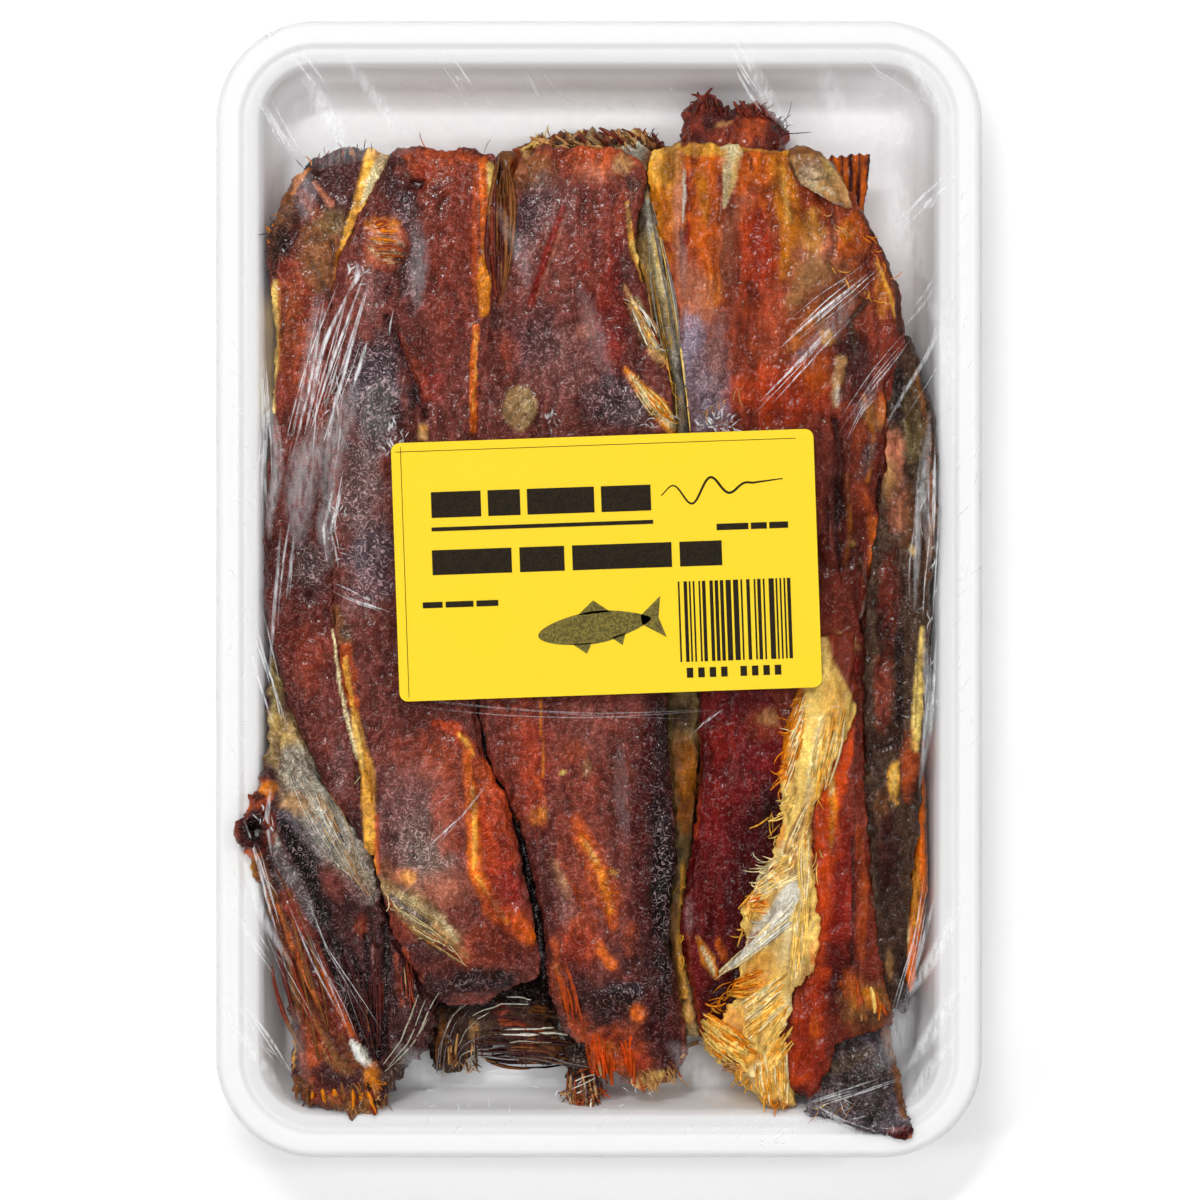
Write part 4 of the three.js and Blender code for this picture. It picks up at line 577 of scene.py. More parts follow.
STROKES["orange_slab"] = [
    ("rust", 34, 68, 22, 20, 0.7), ("amber", 13, 80, 4, 12, 1, 0, 0.3),
    ("straw", [(9.6, 88.4), (13, 89), (16, 89.6)], [2.6, 2.4, 1], 0.9),
    ("rust", [(13.4, 78), (14.4, 66), (15, 60)], [1.4, 1.6, 1], 0.5),
    ("salmon", [(15.6, 88), (16, 80), (16.2, 71), (16.8, 62)], [1.4, 2.2, 2.2, 2], 0.85, 0.4, 0.4),
    ("mauve", [(16.6, 72), (17, 66), (17.4, 60)], [1, 1.6, 1.4], 0.7),
    ("garnet", [(17.8, 88), (18.2, 80), (17.8, 70)], [0.7, 1.2, 1], 0.75, 0.4, -0.5),
    ("ivory", [(17, 87), (17.2, 80), (17, 74)], 0.35, 0.85, 0.4, 0.2, 0.15),
    ("orange", 21.6, 79, 3.2, 11, 1, 0, 0.3), ("amber", [(20, 88), (21, 80), (22, 72)], [2.4, 2, 1.4], 0.8),
    ("gold", [(18.4, 89.6), (24, 89.4)], 1.2, 0.9),
    ("cream", [(26.8, 88.8), (26.4, 83), (25.2, 77)], [4.4, 3, 0.6], 1, 0.08, -0.2, 0.05),
    ("straw", [(28, 87), (27, 82), (26, 79)], [1.2, 1, 0.6], 0.7), ("garnet", [(24.3, 84), (24.3, 78)], 0.4, 0.5),
    ("orange", 31.4, 82, 3.6, 7, 0.95), ("gold", [(29, 89.4), (34, 89), (39, 88.6)], [1.6, 1.8, 1.4], 0.9),
    ("blood", [(30.4, 87.6), (31, 84.6)], [0.5, 0.7], 0.85, 0.4),
    ("salmon", [(31, 80), (27, 75), (23.6, 66)], [3, 4, 3.4], 0.6, 0.5, 0.5),
    ("amber", [(36, 87), (37.4, 79), (38.4, 71), (37.4, 63)], [4.4, 4, 3.4, 2], 0.9),
    ("gold", [(37, 85), (38.2, 74)], 1.4, 0.6), ("amber", [(38.6, 84), (40, 74), (40, 64)], [2, 2.6, 2], 0.6),
    ("straw", [(37, 82), (39, 74)], [0.8, 0.6], 0.5),
    ("orange", [(22.6, 72), (22.6, 64), (22.4, 58)], [4, 5, 3.6], 0.95), ("amber", 22.6, 60, 2, 3.4, 0.5),
    ("ember", 31.6, 66, 3.2, 13, 0.85, 4), ("garnet", 32.6, 68, 2, 9, 0.6, 4),
    ("brick", [(28, 72), (27, 62), (27.4, 52)], [1.6, 2, 2.4], 0.7), ("salmon", 19.6, 59, 3.6, 6.4, 0.7),
    # the lilac spots here and the mauve ones below them are painted sheen
    ("salmon", 26, 66, 1.6, 6, 0.45), ("lilac", 18.4, 47, 2.8, 8, 0.9, -6), ("lilac", 21.4, 38, 4.4, 6, 0.85),
    ("mauve", 20, 43, 1.6, 7, 0.4, -6), ("mauve", 24, 47, 2.6, 8, 0.75), ("brick", 29, 50, 3, 9, 0.8),
    ("brick", 36, 54, 5, 9, 0.75), ("gold", 12.4, 86, 3.6, 5, 0.75),
    ("orange", [(18.6, 86.6), (23.4, 86.6)], 4, 0.8), ("gold", [(18, 88.4), (25, 88.4)], 1.8, 0.8),
    # the salmon spot at (44, 66) is painted sheen
    ("salmon", 44, 66, 5, 6, 0.65), ("gold", 43, 72, 2.4, 4, 0.55), ("tan", 41, 61, 2, 5, 0.6, -25),
    ("orange", 51, 70, 3.4, 5, 0.75), ("amber", 50, 72, 1.6, 2.4, 0.5),
    ("bark", 47.4, 72, 0.7, 4, 0.6, 0, 0.45, -0.4), ("brick", 52, 60, 4, 7, 0.75), ("amber", 57, 60, 1.4, 5, 0.5),
    ("bark", [(53, 76), (57, 70), (60, 61), (60.6, 52)], [1.4, 1.4, 1.2, 1.4], 0.85),
    ("gold", [(56, 66), (58.6, 60), (59.6, 55)], [0.6, 0.8, 0.5], 0.7),
    ("plum", 51, 47, 3.6, 5, 0.9, 0, 0.45, -0.3), ("soot", 52, 50, 2.2, 2, 0.6),
    ("gold", 46, 50.6, 1.6, 1.7, 0.95, 0, 0.2, 0.5), ("tan", 44.6, 54, 0.9, 1.8, 0.7), ("ember", 37, 39, 9, 6, 0.9),
    ("garnet", 36, 38, 5, 4, 0.3), ("orange", 43, 43, 3.4, 4, 0.5), ("tobacco", 46, 60, 7, 8, 0.5),
    ("amber", 41, 52, 1.6, 5, 0.4, -30),
    ("tan", [(48.8, 45.8), (47.8, 41), (47.6, 37)], [2.4, 2, 1], 0.9, 0.25, 0.3), ("ivory", 48, 39, 0.6, 1.8, 0.7),
    ("bark", [(49.8, 45), (49.4, 38)], 0.8, 0.7, 0.4, -0.4), ("plum", 53, 41, 2.0, 4.4, 0.8, -25),
    ("tan", 55.4, 35, 2.4, 2.6, 0.8, 0, 0.45, 0.3), ("orange", 57, 36, 1.6, 3, 0.6),
    ("redbrown", 57, 47, 2, 6, 0.7), ("redbrown", 50, 16, 6, 22, 0.7),
    # folds right of the label: dark bands sunk in them, and the amber and silver bands are painted highlights along
    # their ridges
    ("soot", [(47.5, 34), (49, 24), (47.6, 12), (49.6, 2)], 1.3, 0.85, 0.4, -0.9),
    ("amber", [(49.8, 23), (50.8, 12), (49.8, 4)], 0.9, 0.6, 0.5, 0.5),
    ("rust", [(53.6, 30), (52.4, 22), (54.6, 16)], 1.8, 0.8, 0.5, 0.6),
    ("amber", [(53.4, 39), (55.4, 31), (54.2, 22)], 1.0, 0.65, 0.5, 0.3),
    ("soot", [(53, 7), (51.8, -2), (54, -9)], 1.0, 0.75, 0.4, -0.8),
    ("silver", [(52.8, 6), (54.4, 0), (53, -6)], 0.5, 0.5, 0.5, 0.2),
    ("bark", [(54, 58), (50.6, 54), (51.6, 47)], 1.3, 0.85, 0.4, -0.8),
    ("bark", [(46, 66), (48.6, 61), (54, 58)], 0.8, 0.6, 0.4, -0.6), ("mahogany", 49, 24, 3, 8, 0.7),
    # the slate spot here is painted sheen on a lump
    ("slate", 54, 26.6, 1.4, 4, 0.7, -15), ("rust", 52.6, 31, 1.6, 3, 0.8), ("soot", 48, 17, 2, 5, 0.6),
    ("brick", 52, 20, 1.6, 7, 0.6, 0, 0.45, 0.4), ("soot", [(57, 22), (56.6, 17), (57.2, 11)], 0.8, 0.8, 0.4, -0.5),
    ("orange", [(55, 14), (56, 9), (55, 5)], [2, 2.6, 1.6], 0.75, 0.4, 0.3), ("straw", 51.2, 9, 0.5, 0.6, 0.95),
    ("redbrown", 51, 1, 3, 6, 0.85), ("redbrown", 47, -6, 2.6, 7, 0.8), ("tan", 44, 64, 3, 3, 0.5),
    ("purple", 46, 12, 1.6, 12, 0.4), ("soot", [(58, 2), (55.6, -4), (54.6, -9)], 1.0, 0.75, 0.4, -0.6),
    ("mauve", 56, 0, 0.8, 3, 0.5, -20), ("tan", 50.6, -10.6, 0.9, 2.6, 0.6, 50), ("garnet", 51, -16, 2.4, 3, 0.9),
    ("mahogany", 55, -18, 3, 10, 0.6),
    ("ember", [(51, -26), (48.6, -34), (45.6, -46), (46, -60), (45, -74)], [2.4, 4.6, 5, 4.6, 3.4], 1, 0.3),
    ("amber", [(46.6, -37), (47.4, -44), (46.8, -52)], [1.8, 1.6, 0.8], 0.85),
    ("straw", [(46.8, -37.4), (47, -41)], 0.7, 0.8),
    ("garnet", [(48.4, -56), (47.6, -66), (47.4, -78)], [2, 3.4, 3], 0.75), ("garnet", 49.6, -62, 2.0, 16, 0.7),
    ("blood", 48, -76, 3, 6, 0.7),
    ("rust", [(52.4, -48), (53.4, -60), (52.8, -74)], [1.4, 2.2, 1.8], 0.9, 0.5, 0.4),
    ("redbrown", [(53, -28), (54, -44), (55.4, -58)], 2.6, 0.7),
    ("blood", [(54, -27), (54.2, -35), (54.4, -45)], 0.6, 0.8, 0.4, -0.5),
    ("soot", [(51, -50), (51.4, -62), (51, -76)], 0.7, 0.7, 0.4, -0.5),
    ("ember", [(44.4, -78), (42, -88), (40.8, -98)], [4, 6, 5], 1), ("garnet", 42.6, -92, 3, 8, 0.6),
    ("orange", 43.6, -88, 1, 4, 0.5), ("blood", 41, -102, 1.4, 2, 0.8), ("garnet", 44.6, -82, 1.8, 4, 0.6),
    ("blood", 48, -82, 2.4, 5, 0.7), ("tobacco", 54, -84, 4.6, 5, 0.95), ("amber", 54, -82.6, 2.8, 2, 0.7),
    ("orange", 51, -80, 2, 3, 0.6), ("bark", 56, -86.6, 3, 1.6, 0.6),
]
STROKES["crimson_slab"] = [
    ("brick", 34, -27, 4.6, 3, 0.85), ("tan", 34.4, -26, 2.4, 1.6, 0.6), ("garnet", 25, -31, 3.4, 5, 0.7),
    ("rust", [(20.4, -28), (20.6, -40), (19.6, -50)], 0.7, 0.4), ("blood", 21, -34, 2.4, 8, 0.6),
    ("garnet", 24, -42, 3, 4, 0.5), ("blood", 31, -52, 4.4, 12, 0.8, -14), ("soot", 34.6, -44, 1.6, 6, 0.6),
    # the mauve spot here is painted sheen
    ("mauve", 18.2, -66, 1, 4, 0.6), ("purple", 27, -37, 1.2, 3, 0.4), ("garnet", 23, -62, 2.4, 6, 0.4),
    ("blood", 28.4, -64, 3, 7, 0.6), ("blood", [(21, -54), (24, -66), (27, -84)], [5, 7, 8], 0.5),
    ("amber", [(20, -70.6), (22, -75), (23.8, -78.6)], [0.9, 2.8, 1.2], 1, 0.25, 0.5, 0.1),
    ("cream", [(20.8, -72.2), (22.4, -75.6), (23.4, -78)], [0.6, 1.3, 0.6], 0.95, 0.3),
    ("orange", 24.8, -73, 0.9, 2.4, 0.8, 20), ("brick", [(18, -70), (18.4, -78), (20.6, -90)], 1, 0.7),
    ("rust", [(18.4, -84), (20.4, -91)], 0.9, 0.7), ("soot", 25, -84, 3, 5, 0.5),
]
STROKES["torn_flesh"] = [
    ("straw", 46, -22, 5, 8, 0.5), ("gold", 47.4, -25, 2.4, 7, 0.5),
    ("redbrown", [(50.6, -6), (50.8, -13), (53, -22)], [11, 8.4, 3.2], 1, 0.2, 0, 0.15),
    ("ember", [(45.2, -46), (44.8, -56), (45, -74)], 4.6, 1, 0.2),
    ("amber", [(40, -20), (37.4, -29), (38, -37)], [2.6, 4.4, 3], 1, 0.3),
    ("orange", [(37, -28), (36.6, -36)], 1.2, 0.6), ("gold", [(40.6, -24), (40, -34)], [1.6, 1.2], 0.7),
    ("straw", [(45, -28), (43, -38), (41.4, -46)], [6, 4.6, 3.4], 0.95),
    ("cream", [(45, -26), (43, -36), (42, -43)], [1.6, 1.8, 1.2], 0.6),
    ("gold", [(42.8, -42), (41.4, -50), (40, -56)], [0.8, 1.2, 0.8], 0.6),
    ("amber", [(36.8, -48), (36.4, -52)], 1.2, 0.7), ("cream", 38.6, -53.6, 2.4, 2.6, 0.8),
    ("rust", 35.6, -56.8, 1.8, 1.1, 0.9, -20), ("cream", 40, -58, 3, 4, 0.8), ("tan", 34, -60.6, 3.6, 2.6, 0.6),
    ("amber", 31.6, -63, 2.6, 2, 0.7),
    ("ivory", [(39.6, -60), (36, -66.4), (31, -71.6), (26, -76.6)], [3, 5, 4, 1.4], 1, 0.35),
    ("pewter", [(39.6, -67.4), (35, -70.4), (31, -73)], 0.35, 0.8, 0.5, -0.3),
    ("silver", [(36, -63), (33, -68)], [1, 1.2], 0.6),
    ("salmon", [(32, -69.4), (28, -73.6), (24.4, -77.6)], [1, 1, 0.8], 0.8), ("straw", 43, -64, 1.9, 9, 0.95),
    ("gold", 44, -58, 0.9, 4, 0.6), ("gold", 33.4, -76, 3.6, 3, 0.9), ("amber", 31.6, -79.6, 3.4, 2.8, 0.9),
    ("orange", 28.6, -80.6, 1.4, 1.4, 0.6), ("cream", 38.6, -74, 2.4, 7, 0.9), ("tan", 42.4, -78, 1.8, 2, 0.85),
    ("gold", 33, -86, 4, 4, 0.5), ("amber", 27, -87.4, 3, 3, 0.6), ("cream", 32, -85.6, 2, 2.4, 0.6),
    ("straw", 36.6, -84, 4, 10, 0.8), ("cream", 38, -86, 1.6, 4, 0.7),
    ("gold", [(22, -86.6), (26, -91), (31, -95)], [3, 4.6, 3], 1, 0.3, 0.5),
    ("straw", [(22.6, -88), (27, -91.4), (30, -94)], [0.8, 1.4, 0.8], 0.7),
    ("tobacco", [(26, -94.4), (30, -97)], 0.6, 0.6, 0.5, -0.4),
    ("gold", [(31, -95), (34, -99), (37, -104)], [3, 4, 3], 0.7), ("cream", 32, -98, 2, 2.6, 0.7),
    ("tan", 33, -103.6, 4, 1.4, 0.8), ("amber", 27, -97, 2, 1.6, 0.7), ("rust", 37.8, -105, 1.2, 0.9, 0.9),
    ("rust", 31.4, -98.6, 0.3, 0.3, 0.9), ("rust", 33.4, -100.4, 0.3, 0.3, 0.9),
]
STROKES["edge_slab"] = [
    ("bark", 62.6, 43, 3, 8, 0.7), ("soot", 60.4, 39, 1.6, 6, 0.8), ("olive", 63.6, 32, 2, 8, 0.5),
    ("tobacco", [(64, 44), (66.4, 32), (67, 16), (66, 2)], [0.8, 1.1, 1.2, 0.9], 0.85),
    ("salmon", 59.4, 27, 2, 5, 0.75), ("tan", 58.6, 22, 1.6, 4, 0.8), ("salmon", 60.4, 16, 2, 5.4, 0.55),
    ("tobacco", 62.6, 14, 1.4, 6, 0.6), ("straw", 63.4, 8, 0.7, 1.2, 0.6), ("redbrown", 58.6, -2, 2.2, 9, 0.85),
    ("bark", 62.6, -8, 2.4, 12, 0.8), ("straw", [(65, -8), (64.4, -20), (63.6, -32)], [0.8, 1.8, 1.6], 0.75),
    ("bark", [(64.2, -14), (63.8, -28)], 0.4, 0.6), ("redbrown", 57.4, -20, 1.8, 8, 0.8),
    ("soot", [(60.6, -8), (60.6, -26)], 1.8, 0.8), ("gold", 59.4, -39, 1.1, 4, 0.95, 0, 0.3, 0.4),
    ("straw", 59.4, -38.6, 0.6, 2.6, 0.7), ("rust", 62.6, -36, 1.6, 6, 0.8), ("tobacco", 57, -44, 1.4, 3, 0.6),
    ("soot", 58.8, -56, 2.2, 11, 0.6), ("blood", 58, -52, 2.4, 9, 0.5), ("bark", 59.4, -72, 2.2, 8, 0.8),
    ("tan", 58.6, -76, 0.7, 3, 0.6), ("slate", 61.6, -83, 1.2, 2.6, 0.8),
]
STROKES["amber_sliver"] = [
    ("orange", 64, -58, 2, 20, 0.6), ("cream", [(62.6, -58), (61.8, -68), (61.6, -77)], [0.8, 1.7, 1], 0.95),
    ("tobacco", [(65.6, -36), (66.4, -56), (65, -72)], 0.6, 0.8), ("gold", 64, -62, 1, 7, 0.7),
    ("rust", 64.6, -38, 1.2, 6, 0.6),
]
STROKES["tail_skin"] = [
    ("pewter", 48, -92, 4, 2.6, 0.4), ("bark", 46, -91, 4, 3, 0.5), ("sand", 50, -96, 6, 1.2, 0.35, 25),
    ("tobacco", [(58.4, -90), (60.6, -97), (61.6, -106)], [2.4, 2.6, 1.6], 0.9),
    ("tan", [(60.4, -92), (62, -100)], 0.6, 0.7), ("pewter", 46, -104, 4, 2, 0.7), ("bark", 52, -100, 8, 9, 0.5),
    # the mauve and salmon specks by the tip are painted highlights
    ("soot", 54, -101, 4, 4, 0.4), ("blood", 61.4, -110, 3.6, 2, 1), ("mauve", 59.6, -109, 1.6, 0.7, 0.6),
    ("salmon", 63.4, -110.6, 0.8, 0.7, 0.7), ("soot", 56, -106, 3, 2, 0.6),
]
STROKES["back_piece"] = [
    ("brick", -18, 89.5, 3, 2.6, 0.9), ("tan", [(-16.6, 91.6), (-14.6, 88)], 1.4, 0.9, 0.3, 0.4),
    ("salmon", [(-13.8, 92.4), (-11.6, 88.6)], 1.2, 0.8, 0.3, 0.4),
    ("straw", [(-12.6, 93.4), (-10.4, 91.4)], 0.8, 0.9), ("redbrown", -8.4, 90.6, 2.2, 1.8, 0.95),
    ("plum", -6.4, 92, 1.4, 1.4, 0.8), ("sand", -3, 92, 3.4, 1.8, 0.9), ("bark", 2.6, 93.4, 3, 1, 0.8),
    ("redbrown", 1, 89, 2, 1.4, 0.8), ("cream", 4.4, 90.4, 1.4, 1.6, 0.95), ("silver", 7.6, 89.6, 2.2, 2.6, 0.95),
    ("straw", 6, 92.4, 1.6, 1, 0.8), ("amber", 9.6, 92.6, 2, 1.6, 0.8), ("tan", 11.6, 90, 1, 2, 0.6),
    ("redbrown", 13.6, 91, 2.6, 1.6, 0.9),
]
STROKES["back_chunk"] = [
    ("tan", 25, 94.6, 1.6, 0.7, 0.8), ("rust", 31, 93.4, 3, 2.4, 0.75), ("plum", 24, 97, 3, 2, 0.6),
    ("tobacco", 32, 98.8, 1.6, 1, 0.9), ("brick", 22, 99, 3, 1.4, 0.7), ("rust", 29, 90.6, 3, 1, 0.5),
    ("blood", 20, 91, 1.8, 2.4, 0.6), ("brick", 25.6, 91.4, 2, 1.4, 0.7), ("blood", 35.4, 92, 1.2, 3, 0.7),
    ("soot", 28, 97, 1.6, 1.6, 0.6, 0, 0.45, -0.8), ("soot", 22, 95, 1.2, 2, 0.6, 30, 0.45, -0.8),
]
STROKES["striped_fin"] = []
STROKES["seam_sliver"] = [
    ("rust", -17, 84, 1.4, 3, 0.9), ("tan", -18, 80, 1, 4, 0.6), ("bark", -16.6, 76, 0.8, 4, 0.6),
]
STROKES["skin_flap"] = [
    ("tan", 44, 87, 5, 3, 0.6), ("silver", 42.4, 83, 2.4, 3, 0.4, -20), ("cream", 43.6, 80.6, 1, 2, 0.4, 30),
    ("tobacco", 41, 86, 2, 2, 0.5), ("tobacco", 45, 86.6, 3, 1.2, 0.5, -20),
    ("bark", [(40, 84), (43, 82.4), (46, 83)], 0.4, 0.6, 0.4, -0.3),
    ("bark", [(42, 86), (44.6, 84.6), (47, 81)], 0.4, 0.6, 0.4, -0.3), ("straw", 46, 86, 1, 2.6, 0.5, 20),
    ("tobacco", [(38.6, 88.4), (43, 89), (47, 87.4)], 2.4, 0.9),
    ("bark", [(38.6, 86), (40, 81), (44.6, 77.6), (50, 76.6)], [0.6, 0.9, 0.9, 0.6], 0.85),
    ("olive", 46.6, 84, 1.6, 3, 0.6), ("ivory", [(43.6, 80), (46.4, 78.2), (49, 77.4)], 0.45, 0.85),
    ("ivory", [(45, 81), (47.6, 79.4)], 0.35, 0.7),
]
STROKES["dark_strip"] = [
    # the slate and pewter marks here are painted sheen on the glossy dark strip
    ("slate", [(-22, -36), (-19.6, -43), (-17, -50)], 0.6, 0.5), ("slate", -14.4, -73.6, 2.4, 2.6, 0.9),
    ("pewter", -13.6, -72.4, 1.2, 1, 0.6), ("rust", [(-18.4, -42), (-16.4, -47)], 0.5, 0.85),
]
STROKES["lower_fin"] = [
    ("soot", -26, -81, 12, 5, 0.9), ("soot", -12, -82, 6, 4, 0.8), ("tobacco", -32, -92, 1.0, 5, 0.9),
    ("tan", -25.4, -90, 1.0, 2.4, 0.7), ("redbrown", [(-20, -86), (-14, -92)], [3, 4], 0.8),
    ("tobacco", -9, -92, 3, 3, 0.8), ("rust", [(-20, -88), (-12, -90)], 1.2, 0.5),
    ("amber", -12.4, -86, 1.6, 1, 0.5), ("plum", -24, -95, 4, 3, 0.7),
]
STROKES["tail_bit"] = [
    ("rust", -3, -103.4, 3.4, 1.3, 0.9), ("tan", -2.4, -101.6, 1.4, 1, 0.5), ("soot", -4, -92, 3, 3, 0.7),
]

# Each fish piece: the shade it starts from, its slot, how wrinkled its skin is, and its relief in
# millimetres: broad lumps, lengthwise wrinkles and rough edges.
FISH = {
    "left_slab": ("mahogany", "smoked_skin", 1.0, 0.5, 0.35, 0.5),
    "second_slab": ("purple", "smoked_skin", 1.0, 0.4, 0.3, 0.4),
    "third_slab": ("purple", "smoked_skin", 1.0, 0.4, 0.25, 0.4),
    "folded_slab": ("plum", "smoked_skin", 0.7, 0.6, 0.75, 0.9),
    "edge_slab": ("bark", "dark_skin", 0.2, 0.5, 0.45, 0.5),
    "orange_slab": ("redbrown", "orange_flesh", 0.45, 0.45, 0.4, 0.4),
    "crimson_slab": ("crimson", "crimson_flesh", 0.6, 0.4, 0.3, 0.4),
    "torn_flesh": ("straw", "pale_flesh", 0.0, 0.5, 0.6, 0.8),
    "skin_strip": ("sand", "silver_skin", 0.3, 0.3, 0.4, 0.3),
    "skin_flap": ("tan", "silver_skin", 0.3, 0.3, 0.3, 0.4),
    "tail_skin": ("slate", "dark_skin", 0.3, 0.3, 0.4, 0.3),
    "dark_strip": ("soot", "dark_skin", 0.3, 0.3, 0.2, 0.2),
    "lower_fin": ("bark", "dark_skin", 0.3, 0.4, 0.6, 0.9),
    "tail_bit": ("bark", "dark_skin", 0.3, 0.3, 0.5, 0.6),
    "back_piece": ("tobacco", "amber_flesh", 0.3, 0.8, 0.7, 1.0),
    "back_chunk": ("redbrown", "smoked_skin", 0.5, 0.8, 0.6, 0.8),
    "striped_fin": ("orange", "amber_flesh", 0.0, 0.1, 0.2, 0.3),
    "seam_sliver": ("tobacco", "amber_flesh", 0.4, 0.2, 0.2, 0.2),
    "amber_sliver": ("orange", "amber_flesh", 0.1, 0.2, 0.2, 0.3),
}
FISH_FINISH = {
    "smoked_skin": fish_material("oily_wrinkled_skin", wet=0.34),
    "dark_skin": fish_material("dried_dark_skin", fibre=0.3),
    "orange_flesh": fish_material("oily_orange_flesh", fibre=0.4, mottle=0.14),
    "crimson_flesh": fish_material("dark_red_flesh", fibre=0.3, mottle=0.18),
    "pale_flesh": fish_material("torn_pale_flesh", 0.3, fibre=0.3, turn=-12, mottle=0.12, fleck=0.2),
    "silver_skin": fish_material("silver_belly_skin", fibre=0.4, turn=-14, mottle=0.16),
    "amber_flesh": fish_material("amber_dried_flesh", fibre=0.4, mottle=0.18),
}
# How a piece's grain runs, in degrees from straight up the pack.
LEAN = {"folded_slab": 17, "torn_flesh": -14, "skin_strip": 9, "tail_skin": 24, "skin_flap": 30, "back_piece": 80,
        "lower_fin": 70, "tail_bit": 60}
# For each finish: how strongly its grain streaks it, how strongly painted shade darkens its wrinkles' hollows and
# lightens their crests, how deep creases cut along its grain and how dark they are painted, and how far the oil that
# soaks it leaves it bright.
WORKING = {
    "smoked_skin": (0.1, 0.9, 0.5, 0.92), "dark_skin": (0.2, 0.9, 0.9, 0.8), "orange_flesh": (0.26, 0.5, 0.9, 0.74),
    "crimson_flesh": (0.2, 0.6, 0.6, 0.75), "pale_flesh": (0.1, 0.45, 0.6, 0.95),
    "silver_skin": (0.28, 0.5, 0.7, 0.85), "amber_flesh": (0.26, 0.7, 0.9, 0.75),
}
PRESSED = {"left_slab", "second_slab", "third_slab", "orange_slab", "crimson_slab", "edge_slab"}
SLAB_SWELL = 0.65  # how far a pressed slab's walls stand out, so that seams close
RIM_SQUARE, RIM_SQUARES = 0.7, 9  # the grid on which a slab's rim is found, and how many squares it counts in
PLATEAU_REACH = 6  # how many squares in a slab's own height is looked for
SLAB_MIDDLE, END_FROM, END_LENGTH = 2, 82, 6  # where along the pack the slabs' ragged ends start, from their middle
FIN_ROOT = (50.5, 88)  # where the stripes of the striped fin fan out from


def spread(grid, rounds, pick):
    """Each square of a grid takes the pick (np.maximum or np.minimum) of itself and its neighbours."""
    for _ in range(rounds):
        padded = np.pad(grid, 1, mode="edge")
        for part in (padded[2:, 1:-1], padded[:-2, 1:-1], padded[1:-1, 2:], padded[1:-1, :-2]):
            grid = pick(grid, part)
    return grid


def squared_up(place):
    """Heights with the rounded rims of a pressed slab squared up, so that slabs meet in tight seams."""
    corner = place[:, :2].min(axis=0) - (RIM_SQUARES - 1) * RIM_SQUARE
    at = ((place[:, :2] - corner) / RIM_SQUARE).astype(int)
    shape = at.max(axis=0) + RIM_SQUARES
    top = np.full(shape, -1.0)
    np.maximum.at(top, (at[:, 0], at[:, 1]), place[:, 2])
    inside = np.where(top > 0, 20.0, 0.0)  # squares in from the rim, or 20 where that is further than counted
    for k in range(RIM_SQUARES):
        inner = spread(inside, 1, np.minimum)
        inside = np.where((inside > 0) & (inner <= k) & (inside > k + 1), k + 1.0, inside)
    plateau = spread(top, PLATEAU_REACH, np.maximum)[at[:, 0], at[:, 1]]
    inset = inside[at[:, 0], at[:, 1]] * RIM_SQUARE
    depth = np.maximum(plateau - place[:, 2], 0)
    share = 1 - eased(inset, 2.2, 5.6)
    return place[:, 2] + share * 0.8 * depth * np.exp(-(depth / 5) ** 2)


